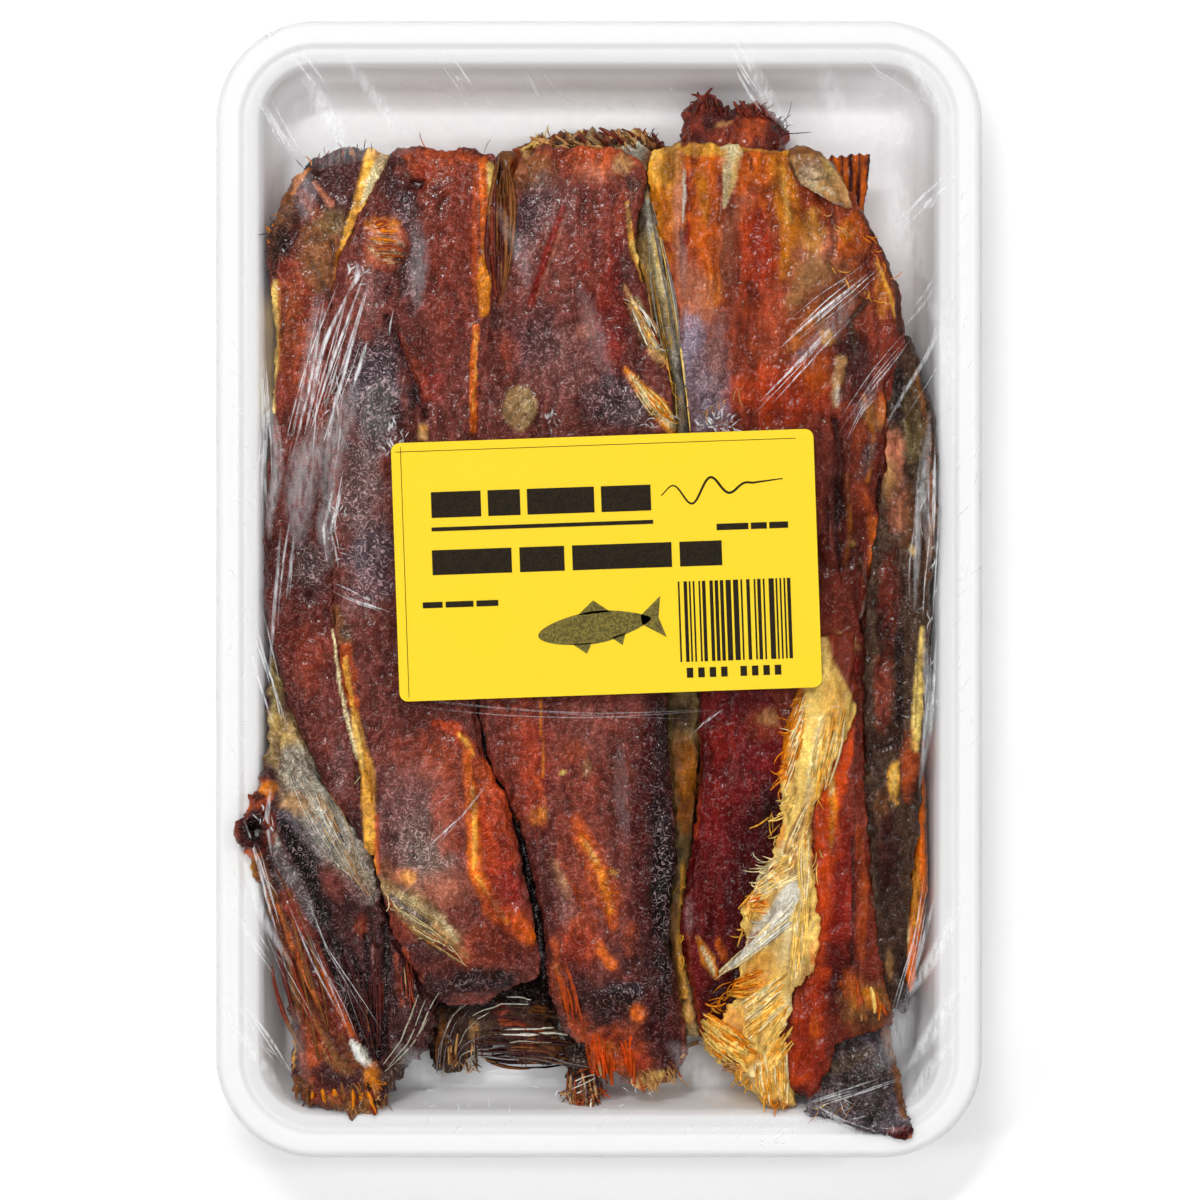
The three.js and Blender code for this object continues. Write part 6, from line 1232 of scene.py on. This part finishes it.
def film_heights():
    """The height of a sheet pulled taut over the rim and the fish, on the fine grid."""
    size_x, size_y = GRID_SHAPE
    x = GRID_LOW[0] + GRID * np.arange(size_x)[:, None] + np.zeros(GRID_SHAPE)
    y = GRID_LOW[1] + GRID * np.arange(size_y)[None, :] + np.zeros(GRID_SHAPE)
    inset = np.minimum(TRAY_WIDTH / 2 - np.abs(x), TRAY_LENGTH / 2 - np.abs(y))
    ox = np.maximum(np.abs(x) - (TRAY_WIDTH / 2 - TRAY_CORNER), 0)
    oy = np.maximum(np.abs(y) - (TRAY_LENGTH / 2 - TRAY_CORNER), 0)
    inset = np.where((ox > 0) & (oy > 0), TRAY_CORNER - np.hypot(ox, oy), inset)
    hold = crown + FILM_CLEARANCE
    hold = np.where((inset > -2) & (inset < 5), RIM_HEIGHT + RIM_CLEARANCE, hold)
    flat = (x > STICKER_BOX[0]) & (x < STICKER_BOX[2]) & (y > STICKER_BOX[1]) & (y < STICKER_BOX[3])
    hold = np.where(flat, STICKER_FLAT, hold)
    sheet = None
    for step in TAUT_STEPS:
        held = hold[: size_x // step * step, : size_y // step * step]
        held = held.reshape(size_x // step, step, size_y // step, step).max(axis=(1, 3))
        if sheet is None:
            sheet = np.full(held.shape, STICKER_FLAT + 0.1)
        else:
            rows = np.linspace(0, sheet.shape[0] - 1, held.shape[0])
            columns = np.linspace(0, sheet.shape[1] - 1, held.shape[1])
            sheet = sheet[rows.round().astype(int)][:, columns.round().astype(int)]
        for _ in range(TAUT_ROUNDS):
            padded = np.pad(sheet, 1, mode="edge")
            mean = (padded[2:, 1:-1] + padded[:-2, 1:-1] + padded[1:-1, 2:] + padded[1:-1, :-2]) / 4
            sheet = np.maximum(mean, held)
    return sheet


film_height = film_heights()


def film_mesh():
    """The film: a sheet over the pack, with its edge extruded down the tray's sides."""
    half_x, half_y = TRAY_WIDTH / 2 + FILM_EDGE, TRAY_LENGTH / 2 + FILM_EDGE
    columns, rows = round(2 * half_x / FILM_STEP), round(2 * half_y / FILM_STEP)
    bm = bmesh.new()
    bmesh.ops.create_grid(bm, x_segments=columns, y_segments=rows, size=1)
    ways = {}
    for v in bm.verts:
        x, y, way = corner_pulled(v.co.x * half_x, v.co.y * half_y, half_x, half_y, TRAY_CORNER + FILM_EDGE)
        v.co = (x * MM, y * MM, min(look_up(film_height, x, y), STICKER_FLAT) * MM)
        if v.is_boundary:
            ways[v] = way
            v.co.z = FILM_EDGE_HEIGHT * MM
    rim = [e for e in bm.edges if e.is_boundary]
    before = -FILM_EDGE
    for inset, height in FILM_SKIRT:
        made = bmesh.ops.extrude_edge_only(bm, edges=rim)["geom"]
        moved = {}
        for v in (g for g in made if isinstance(g, bmesh.types.BMVert)):
            old = next(e.other_vert(v) for e in v.link_edges if e.other_vert(v) in ways)
            way = ways[old]
            moved[v] = way
            v.co.x -= way[0] * (inset - before) * MM
            v.co.y -= way[1] * (inset - before) * MM
            v.co.z = height * MM
        ways.update(moved)
        rim = [g for g in made if isinstance(g, bmesh.types.BMEdge) and g.is_boundary]
        before = inset
    bmesh.ops.recalc_face_normals(bm, faces=bm.faces)
    mesh = mesh_from(bm, "film")
    place, normal = places_of(mesh)
    # the film is a little slack, except on the rim and under the sticker
    free = np.clip((np.abs(place[:, 2] - 24.1) - 0.3) / 2, 0, 1)
    free *= np.where(place[:, 2] > STICKER_FLAT - 0.05, 0, 1)
    slack = sum(high * swell(place, size, 901 + k) for k, (high, size) in enumerate(FILM_SLACK))
    move_to(mesh, place + normal * (slack * free)[:, None])
    return smooth_shaded(mesh)


def film_material(name, gain=1.0, bump=0.10):
    """Clear film: what it lets through, and a gloss that its fine crinkles break up."""
    w = Weave(name)
    normal = w.bump(w.noise(2.6, 1, 0.6), bump * 3)
    fresnel = w.add("ShaderNodeFresnel")
    fresnel.inputs["IOR"].default_value = 1.5
    w.feed(fresnel.inputs["Normal"], normal)
    share = w.math("MULTIPLY", fresnel.outputs[0], FILM_GLOSS * gain)
    clear = w.add("ShaderNodeBsdfTransparent")
    clear.inputs["Color"].default_value = (FILM_CLEARNESS,) * 3 + (1,)
    gloss = w.add("ShaderNodeBsdfGlossy")
    gloss.inputs["Roughness"].default_value = FILM_ROUGHNESS
    w.feed(gloss.inputs["Normal"], normal)
    mixed = w.add("ShaderNodeMixShader")
    w.feed(mixed.inputs[0], share)
    w.feed(mixed.inputs[1], clear.outputs[0])
    w.feed(mixed.inputs[2], gloss.outputs[0])
    return w.finish(mixed.outputs[0])


seen_directly(put("stretch_film", film_mesh(), "film", "film", film_material("clear_stretch_film")))


# ---- label and clear sticker ----
def label_material():
    """Satin yellow paper."""
    w = Weave("yellow_label")
    fleck = w.noise(0.3, 2, 0.7)
    broad = w.noise(25, 2)
    colour = w.blend(w.span(fleck, 0.3, 0.7), linear((255, 217, 14)), linear((250, 209, 10)))
    colour = w.blend(w.span(broad, 0.3, 0.7, 0, 0.35), colour, linear((253, 213, 12)))
    satin = w.span(broad, 0.3, 0.7, 0.38, 0.5)
    return w.surface(colour, w.bump(fleck, 0.012), Roughness=satin, Specular_IOR_Level=0.35)


def restyle(node, material):
    """Gives a CAD node that stays shown a better material."""
    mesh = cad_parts[node].data
    mesh.materials.clear()
    mesh.materials.append(material)


restyle("label", label_material())
restyle("clear_sticker", film_material("clear_sticker_film", 0.8, 0.03))


def ink_material(name, shade, fleck_shade):
    w = Weave(name)
    worn = w.span(w.noise(0.5, 2, 0.7), 0.35, 0.65)
    return w.surface(w.blend(worn, linear(shade), linear(fleck_shade)), Roughness=0.6, Specular_IOR_Level=0.15)


def on_label(u, v):
    """A place on the label, from its centre, as a place of the frame."""
    cos, sin = math.cos(LABEL_TURN), math.sin(LABEL_TURN)
    return LABEL_CENTRE[0] + u * cos - v * sin, LABEL_CENTRE[1] + v * cos + u * sin


def printed(name, blocks, material):
    """Print in thin ink: blocks are (u, v, width, tall) in millimetres, from the label's centre."""
    bm = bmesh.new()
    for u, v, width, tall in blocks:
        made = bmesh.ops.create_cube(bm, size=1)["verts"]
        bmesh.ops.scale(bm, verts=made, vec=(width * MM, tall * MM, INK_DEPTH * MM))
        bmesh.ops.rotate(bm, verts=made, cent=(0, 0, 0), matrix=Matrix.Rotation(LABEL_TURN, 3, "Z"))
        x, y = on_label(u, v)
        bmesh.ops.translate(bm, verts=made, vec=(x * MM, y * MM, (LABEL_TOP + INK_LIFT) * MM))
    return put(name, mesh_from(bm, name), "label", material=material)


def row_of(u, v, tall, widths, gap):
    """Blocks side by side from u to the right."""
    blocks = []
    for width in widths:
        blocks.append((u + width / 2, v, width, tall))
        u += width + gap
    return blocks


STRIPES_FROM, STRIPES_TO = 14.2, 36.4
stripes, at = [], STRIPES_FROM
while at < STRIPES_TO:
    wide = draw.choice((0.35, 0.35, 0.7, 1.05))
    stripes.append((at + wide / 2, -11.9, wide, 16.2))
    at += wide + draw.choice((0.35, 0.45, 0.8))
plain_blocks = (
    row_of(-34.8, 13.3, 5.2, (10, 6.5, 13.5, 10), 1.4)
    + [(-12.6, 8.4, 44.6, 0.8)]
    + row_of(-35, 1.7, 5.0, (16, 9, 20, 8.5), 1.6)
    + row_of(22.4, 6.9, 1.3, (6.4, 3.2, 3.8), 0.5)
    + row_of(-37.2, -6.8, 1.2, (4, 5.6, 4.4), 0.6)
    + row_of(15.4, -22.2, 2.0, (1.3,) * 4, 1.0)
    + row_of(26.2, -22.2, 2.0, (1.3,) * 4, 1.0)
    + [(-1.4, 24.2, 80.6, 0.12), (-40.6, 0, 0.12, 50.4)]  # hairlines inside its top and left edges
)
printed("label_blocks", plain_blocks + stripes, ink_material("dark_ink", (30, 22, 16), (46, 36, 18)))


FLOURISH_STEPS = 60
PEN_HEIGHT, PEN_FLATNESS = LABEL_TOP + 0.05, 0.1  # where the pen line is drawn, and how far it is then flattened


def flourish():
    """A plain wavy pen line, as flat as ink."""
    line = []
    for k in range(FLOURISH_STEPS + 1):
        t = k / FLOURISH_STEPS
        wave = (2.9 - 1.2 * t) * math.sin(t * 19) * math.sin(math.pi * min(t * 1.2 + 0.1, 1))
        line.append((*on_label(11.5 + 24.5 * t, 13.6 + 2.6 * t + wave), PEN_HEIGHT))
    mesh = strand_mesh([(line, 0.24)])
    bm = bmesh.new()
    bm.from_mesh(mesh)
    for v in bm.verts:
        v.co.z = (LABEL_TOP + INK_LIFT) * MM + (v.co.z - PEN_HEIGHT * MM) * PEN_FLATNESS
    bm.to_mesh(mesh)
    bm.free()
    return mesh


put("label_flourish", flourish(), "label", material=ink_material("pen_ink", (36, 28, 20), (50, 42, 26)))


FISH_CENTRE, FISH_TILT = (-2.8, -12.4), math.radians(7)
FISH_HALF_LENGTH, FISH_HALF_DEPTH = 11.5, 3.3
FORKED_TAIL = ((9.5, 0.9), (14, 4.2), (13, 0), (14, -4.2), (9.5, -0.9))
FINS = (((-3, 2.9), (0.5, 5.4), (3.6, 2.6)), ((-5, -2.6), (-2.4, -5), (-1, -3)), ((3, -2.6), (5, -4.4), (6, -2)))


def fish_picture():
    """A plain fish shape: a tapering body, a forked tail and three fins, as flat as ink."""
    bm = bmesh.new()
    body = bmesh.ops.create_circle(bm, cap_ends=True, segments=40, radius=1)["verts"]
    for v in body:
        along = v.co.x
        v.co.x = along * FISH_HALF_LENGTH
        v.co.y = v.co.y * (FISH_HALF_DEPTH - 1.5 * max(along, 0) ** 1.5 - 0.4 * max(-along, 0))
    plates = list(bm.faces)
    for shape in (FORKED_TAIL, *FINS):
        plates.append(bm.faces.new([bm.verts.new((x, y, 0)) for x, y in shape]))
    bm.normal_update()
    bmesh.ops.reverse_faces(bm, faces=[f for f in plates if f.normal.z > 0])
    made = bmesh.ops.extrude_face_region(bm, geom=plates)["geom"]
    bmesh.ops.translate(bm, verts=[v for v in made if isinstance(v, bmesh.types.BMVert)], vec=(0, 0, INK_DEPTH))
    bmesh.ops.rotate(bm, verts=bm.verts, cent=(0, 0, 0), matrix=Matrix.Rotation(LABEL_TURN + FISH_TILT, 3, "Z"))
    x, y = on_label(*FISH_CENTRE)
    for v in bm.verts:
        v.co = Vector(((v.co.x + x) * MM, (v.co.y + y) * MM, (v.co.z + LABEL_TOP + INK_LIFT) * MM))
    bmesh.ops.recalc_face_normals(bm, faces=bm.faces)
    return mesh_from(bm, "label_fish")


put("label_fish", fish_picture(), "label", material=ink_material("olive_ink", (132, 118, 52), (84, 74, 38)))


# ---- creases of the film: soft bands painted white as the glints they catch ----
CREASE_LIMIT = (77.2, 114.7)  # how far out creases may lie


def crease_material():
    """Painted white glints on clear film, as strong as the share stored in the mesh."""
    w = Weave("painted_crease_glints")
    share = w.add("ShaderNodeAttribute", attribute_name="share").outputs["Fac"]
    clear = w.add("ShaderNodeBsdfTransparent")
    bright = w.add("ShaderNodeBsdfPrincipled")
    bright.inputs["Base Color"].default_value = (0.93, 0.94, 0.96, 1)
    bright.inputs["Roughness"].default_value = 0.3
    mixed = w.add("ShaderNodeMixShader")
    broken = w.span(w.noise(0.8, 1, 0.6, 0, (1, 4, 1)), 0.3, 0.6, 0.35, 1.0)
    w.feed(mixed.inputs[0], w.math("MULTIPLY", share, broken))
    w.feed(mixed.inputs[1], clear.outputs[0])
    w.feed(mixed.inputs[2], bright.outputs[0])
    return w.finish(mixed.outputs[0])


def wandering(points, wave):
    """Points along a path that strays a little from its corners."""
    path, spans = [], len(points) - 1
    length = sum(math.dist(a, b) for a, b in zip(points, points[1:]))
    steps = max(4, min(26, int(length / 1.2)))
    phase, turns = draw.uniform(0, 6.3), draw.uniform(0.6, 2.2)
    for k in range(steps + 1):
        t = k / steps * spans
        at = min(int(t), spans - 1)
        (x0, y0), (x1, y1), f = points[at], points[at + 1], t - at
        reach = math.dist((x0, y0), (x1, y1)) or 1
        off = wave * math.sin(phase + turns * math.pi * k / steps) + draw.uniform(-0.04, 0.04)
        dx, dy = x1 - x0, y1 - y0
        path.append((x0 + dx * f - dy / reach * off, y0 + dy * f + dx / reach * off))
    return path


def bundle(points, count, apart, width, strength=0.9, shorten=0.5):
    """Creases that run side by side along points, some of them forked."""
    made = []
    (x0, y0), (x1, y1) = points[0], points[-1]
    reach = math.dist((x0, y0), (x1, y1))
    for _ in range(count):
        off = draw.gauss(0, apart / 2)
        ox, oy = -(y1 - y0) / reach * off, (x1 - x0) / reach * off
        path = wandering([(x + ox, y + oy) for x, y in points], 0.02 * reach * draw.uniform(0.2, 1))
        first = int(draw.uniform(0, shorten) * len(path))
        last = len(path) - int(draw.uniform(0, shorten) * len(path))
        path = path[first:last]
        if len(path) < 4:
            continue
        made.append((path, width * draw.lognormvariate(0, 0.45), strength * draw.uniform(0.5, 1)))
        if draw.random() < 0.3:
            k = len(path) // 2
            (ax, ay), (bx, by) = path[k - 1], path[k]
            way = math.atan2(by - ay, bx - ax) + draw.choice((-1, 1)) * draw.uniform(0.15, 0.5)
            far = reach * draw.uniform(0.08, 0.2)
            fork = wandering([(ax, ay), (ax + far * math.cos(way), ay + far * math.sin(way))], 0.1)
            made.append((fork, width * draw.uniform(0.4, 0.9), strength * draw.uniform(0.4, 0.9)))
    return made


def web(x, y, across, along, count, length, width, strength=0.8, way=0, stray=180):
    """Short creases scattered over an oval. way is where they point, in degrees, give or take stray."""
    made = []
    for _ in range(count):
        r, around = math.sqrt(draw.random()), draw.uniform(0, 2 * math.pi)
        ax, ay = x + across * r * math.cos(around), y + along * r * math.sin(around)
        turn = math.radians(way + draw.uniform(-stray, stray))
        far = length * draw.uniform(0.4, 1.2)
        path = wandering([(ax, ay), (ax + far * math.cos(turn), ay + far * math.sin(turn))], 0.12 * far)
        made.append((path, width * draw.uniform(0.5, 1.4), strength * draw.uniform(0.4, 1)))
    return made


def ribbon_mesh(ribbons):
    """Each ribbon is a path in millimetres, a width and a strength: it fades out at its edges and ends."""
    bm = bmesh.new()
    shares = []
    for path, width, strength in ribbons:
        last = len(path) - 1
        for v in bmesh.ops.create_grid(bm, x_segments=4, y_segments=last, size=1)["verts"]:
            across, t = v.co.x, (v.co.y + 1) / 2
            k = min(max(round(t * last), 0), last)
            (ax, ay), (bx, by) = path[max(k - 1, 0)], path[min(k + 1, last)]
            reach = math.dist((ax, ay), (bx, by)) or 1
            half = width / 2 * (0.35 + 0.65 * math.sin(math.pi * t))
            x = path[k][0] - (by - ay) / reach * half * across
            y = path[k][1] + (bx - ax) / reach * half * across
            x, y = (max(min(at, limit), -limit) for at, limit in zip((x, y), CREASE_LIMIT))
            v.co = (x * MM, y * MM, (min(look_up(film_height, x, y), STICKER_FLAT) + CREASE_LIFT) * MM)
            shares.append(strength * (1 - across * across) * math.sin(math.pi * min(max(t, 0.02), 0.98)) ** 0.6)
    mesh = mesh_from(bm, "painted_crease_glints")
    mesh.attributes.new("share", "FLOAT", "POINT").data.foreach_set("value", shares)
    return smooth_shaded(mesh)


# Each row is a bundle where it holds points, or else a web.
CREASES = [
    # down the left side of the fish
    ([(-47, 64), (-51, 50), (-57, 30)], 5, 4.4, 0.4), ([(-47.5, 63), (-53, 46), (-59, 26)], 6, 6, 0.34, 0.95, 0.15),
    ([(-53, 62), (-57, 42), (-61, 24)], 6, 4, 0.36, 0.8), ([(-49, 56), (-54, 38), (-56, 20)], 6, 2.2, 0.6, 0.8),
    ([(-68, 50), (-66, 30), (-66, 8)], 8, 2.2, 0.5, 0.7), ([(-52, 24), (-54, 12), (-52.6, 2)], 7, 1.4, 0.6),
    ([(-62, 20), (-63, 4), (-66, -22)], 5, 2.6, 0.4, 0.5), (-56, 38, 4, 7, 22, 3, 0.4, 0.6, 75, 40),
    (-53, 12, 2.6, 7, 16, 2.4, 0.4, 0.7), (-49, 62, 2, 3, 9, 2.6, 0.5, 0.8, 70, 40),
    ([(-54, 0), (-48, -3), (-42, -5)], 6, 1.4, 0.5, 0.7), ([(-70, -4), (-66, -18), (-63, -30)], 6, 2.2, 0.4, 0.7),
    # across the top right
    ([(57, 65), (47, 57), (36, 47)], 6, 2.4, 0.34, 0.9, 0.25),
    ([(50, 55), (42, 46), (31, 35)], 5, 1.8, 0.34, 0.9, 0.25),
    ([(62, 52), (55, 43), (47, 32)], 4, 2, 0.3, 0.7, 0.2), ([(72, 60), (66, 46), (57, 30)], 4, 3, 0.26, 0.6, 0.2),
    (44, 50, 9, 6, 12, 4, 0.25, 0.4, 42, 15), ([(74, 85), (66, 78), (58, 70)], 7, 2.4, 0.5, 0.6),
    ([(71, 66), (66, 58), (61, 52)], 4, 1.6, 0.4, 0.6), (25, 33, 4, 2.6, 26, 3, 0.5, 0.9),
    (12, 34, 4, 1.6, 10, 2.4, 0.4, 0.6), (-9, 34, 2, 2, 9, 2, 0.5, 0.8),
    (-41, 29, 2.4, 4, 16, 2.6, 0.6, 0.9, 80, 40), ([(-42, -22.6), (0, -24.6), (36, -25.6)], 3, 0.8, 0.3, 0.35, 0.3),
    # over the tray's top end
    ([(-63.4, 112), (-54.3, 98.8)], 5, 2.4, 0.5, 0.5), ([(-69.5, 101), (-60.4, 85.6)], 6, 2.6, 0.5, 0.55),
    ([(-33, 107), (-24, 95)], 4, 3, 0.35, 0.5), ([(24.4, 113), (29, 105), (34, 97)], 5, 2, 0.6, 0.7),
    ([(-16, 108), (-8, 94)], 3, 5, 0.3, 0.4), (-70, 112, 4, 2, 9, 3, 0.3, 0.5, -45, 20),
    ([(49, 112), (56, 104), (66, 98)], 3, 2.6, 0.4, 0.4),
    # over the folded slab and the tray's lower left
    ([(-70, -56), (-62, -76), (-50, -95)], 4, 5, 0.22, 0.55, 0.3),
    ([(-66, -58), (-58, -76), (-48, -96)], 3, 3, 0.22, 0.5, 0.3),
    ([(-60, -62), (-53, -80), (-46, -97)], 3, 2.4, 0.22, 0.5, 0.3),
    ([(-74, -60), (-69, -70), (-63, -80)], 4, 1.6, 0.4, 0.6),
    ([(-74, -80), (-68, -89), (-62, -98)], 4, 1.8, 0.4, 0.6), (-67, -48, 1.4, 4, 8, 2.4, 0.4, 0.9, 100, 25),
    ([(-72, -44), (-68, -56), (-64, -70)], 4, 1.6, 0.35, 0.7),
    # right side
    ([(67, 38), (67, 14), (66, -12)], 5, 2.4, 0.45, 0.7),
    ([(64, 32), (61.6, 14), (60.6, -4)], 3, 3, 0.8, 0.35, 0.3),
    ([(58, 42), (53, 36), (50, 30)], 4, 1.6, 0.3, 0.7, 0.3), ([(68, -6), (67, -20), (66, -36)], 7, 1.8, 0.4, 0.7),
    (67, 10, 1.6, 26, 22, 3.4, 0.35, 0.7, 88, 14), ([(67, -58), (64, -72), (60, -88)], 6, 2, 0.45, 0.7),
    ([(42, -104), (52, -101), (61, -98)], 5, 1.4, 0.35, 0.6),
    ([(43, -102), (50, -106), (58, -109)], 5, 2, 0.35, 0.6), (48, -103, 6, 4, 12, 4, 0.25, 0.5, -20, 30),
    ([(25, -24), (21, -27), (17, -31)], 4, 0.9, 0.3, 0.8), (42, -25, 5, 2, 8, 3, 0.3, 0.5, 20, 30),
    # over the middle
    ([(-22, -38), (-28, -46), (-34, -52)], 3, 0.8, 0.25, 0.7), ([(-29, -41), (-34, -45)], 3, 0.6, 0.25, 0.7),
    ([(-41, 58), (-42, 51)], 3, 0.5, 0.3, 0.8),
    # painted glints: fine dashes on the film over the bare tray
    (38, -109, 22, 3, 46, 2.2, 0.2, 0.8, 35, 60), (-20, -106, 30, 4, 24, 2.4, 0.2, 0.7, 20, 70),
    (0, -101, 12, 4, 12, 3, 0.25, 0.6), (73, 20, 2, 60, 30, 4, 0.25, 0.6, 60, 30),
    (-73, 0, 2, 80, 30, 4, 0.25, 0.6, -60, 30), (-20, 100, 40, 7, 20, 4, 0.25, 0.4, -55, 20),
    (60, 95, 8, 9, 14, 4, 0.25, 0.5, 45, 30),
]
BANDS = [  # broad, faint painted sheen where the film slackens
    ([(-60, 104), (-54, 94), (-50, 88)], 5, 0.4), ([(-52, 108), (-44, 97), (-39, 90)], 3.4, 0.3),
    ([(28, 110), (34, 100), (38, 92)], 4, 0.35), ([(44, 106), (47, 98), (48, 91)], 6, 0.25),
    ([(60, 110), (66, 100), (72, 92)], 4, 0.35), ([(74, -62), (68, -72), (62, -82)], 3.4, 0.55),
    ([(74, -78), (68, -88), (62, -96)], 4, 0.5), ([(72, -90), (66, -98), (61, -104)], 3, 0.45),
    ([(-74, -50), (-68, -64), (-62, -76)], 2.4, 0.4), ([(-75, -84), (-69, -94), (-64, -102)], 3, 0.4),
    ([(-56, 60), (-58, 46), (-61, 34)], 4, 0.16), ([(-66, 40), (-65, 24), (-66, 10)], 3, 0.3),
    ([(66, 36), (66, 20), (66, 4)], 2.6, 0.25), ([(66, -8), (66, -24), (65, -40)], 2.2, 0.3),
    ([(-54, 24), (-55, 14), (-54, 4)], 4, 0.2), ([(52, 60), (46, 52), (38, 44)], 5, 0.12),
    ([(-57, 34), (-59, 24), (-61, 8)], 8, 0.26), ([(-49, 42), (-53, 30), (-55, 16)], 7, 0.22),
    ([(64, -82), (60, -89), (56, -97)], 7, 0.2), ([(14, -91), (19, -97), (26, -103)], 7, 0.15),
    ([(-41, -91), (-36, -97), (-31, -103)], 6, 0.15), ([(-62, 85), (-50, 89), (-36, 88)], 6, 0.15),
    ([(-61, 86), (-58, 74)], 6, 0.16), ([(-37, 74), (-36, 56)], 5, 0.12), ([(-62, -84), (-59, -99)], 5, 0.08),
    ([(-20, 78), (-14, 60)], 4, 0.1), ([(-4, 62), (2, 40)], 5, 0.08), ([(4, -30), (6, -52)], 4, 0.06),
    ([(57, 88), (61, 76), (66, 62)], 8, 0.25), ([(66, 60), (70, 48), (71, 36)], 5, 0.3),
    ([(-66, -40), (-66.4, -46), (-65.6, -53)], 1.2, 0.5), ([(-49.4, 66), (-48.8, 63), (-49.6, 60)], 1.4, 0.8),
    ([(-50, -90.4), (-48, -93.6), (-46.4, -96.4)], 1.8, 0.6),
]
ribbons = []
for where, *how in CREASES:
    ribbons += (bundle if isinstance(where, list) else web)(where, *how)
ribbons += [(wandering(path, 0.5), width, strength) for path, width, strength in BANDS]
seen_directly(put("film_crease_glints", ribbon_mesh(ribbons), "film", material=crease_material()))


# ---- stage, lights and camera ----
def stage_material():
    """A pale plain floor."""
    w = Weave("pale_floor")
    cloud = w.span(w.noise(30, 2), 0.3, 0.7)
    return w.surface(w.blend(cloud, (0.97, 0.97, 0.97), (0.985, 0.985, 0.985)), Roughness=0.7)


bm = bmesh.new()
bmesh.ops.create_grid(bm, x_segments=1, y_segments=1, size=4)
floor_mesh = mesh_from(bm, "floor")
floor = bpy.data.objects.new("floor", floor_mesh)
floor_mesh.materials.append(stage_material())
scene.collection.objects.link(floor)
floor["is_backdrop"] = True


def softbox(name, x, y, z, width, height, watts, mirrored=False):
    """A lamp that faces the pack. Its size and place are in metres. mirrored lets gloss show it."""
    light = bpy.data.lights.new(name, "AREA")
    light.shape = "RECTANGLE"
    light.size, light.size_y = width, height
    light.energy = watts
    lamp = bpy.data.objects.new(name, light)
    lamp.location = (x, y, z)
    lamp.rotation_euler = Vector((x, y, z)).to_track_quat("Z", "Y").to_euler()
    lamp.visible_glossy = mirrored
    scene.collection.objects.link(lamp)


softbox("key_light", -0.25, 0.62, 1.25, 0.42, 0.05, 5.4, True)
softbox("right_glint", 0.7, 0.1, 1.1, 0.07, 0.1, 1.3, True)
softbox("left_glint", -0.7, -0.1, 1.1, 0.07, 0.1, 1.3, True)
softbox("back_softbox", 0, 1.25, 0.9, 1.5, 0.5, 4.6)
softbox("right_softbox", 1.25, 0, 0.9, 0.5, 1.5, 2.7)
softbox("left_softbox", -1.25, 0, 0.9, 0.5, 1.5, 3.3)
softbox("front_softbox", 0, -1.25, 0.9, 1.5, 0.5, 4.6)
softbox("top_softbox", 0, 0, 1.7, 0.9, 0.9, 7.2)

world = bpy.data.worlds.new("studio")
scene.world = world
world.use_nodes = True
sky = world.node_tree  # pale all round, and dark straight above, where the camera hangs
direction = sky.nodes.new("ShaderNodeTexCoord").outputs["Generated"]
rise = sky.nodes.new("ShaderNodeSeparateXYZ")
sky.links.new(direction, rise.inputs[0])
glow = sky.nodes.new("ShaderNodeMapRange")
for socket, number in zip(glow.inputs[1:], (0.8, 0.96, 0.24, 0.02)):
    socket.default_value = number
sky.links.new(rise.outputs["Z"], glow.inputs[0])
sky.links.new(glow.outputs[0], sky.nodes["Background"].inputs["Strength"])
sky.nodes["Background"].inputs["Color"].default_value = (1, 1, 1, 1)

VIEW_SPAN = 242.4  # millimetres across the picture at the rim's height
CAMERA_RISE = 1300  # from the rim to the lens
CAMERA_SENSOR = 36
camera_data = bpy.data.cameras.new("camera")
camera_data.sensor_width = CAMERA_SENSOR
camera_data.lens = CAMERA_SENSOR * CAMERA_RISE / VIEW_SPAN
camera_data.clip_end = 20
camera = bpy.data.objects.new("camera", camera_data)
camera.location = (0.2 * MM, -2.2 * MM, (RIM_HEIGHT + CAMERA_RISE) * MM)
scene.collection.objects.link(camera)
scene.camera = camera
scene.view_settings.view_transform = "Standard"

low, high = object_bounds()
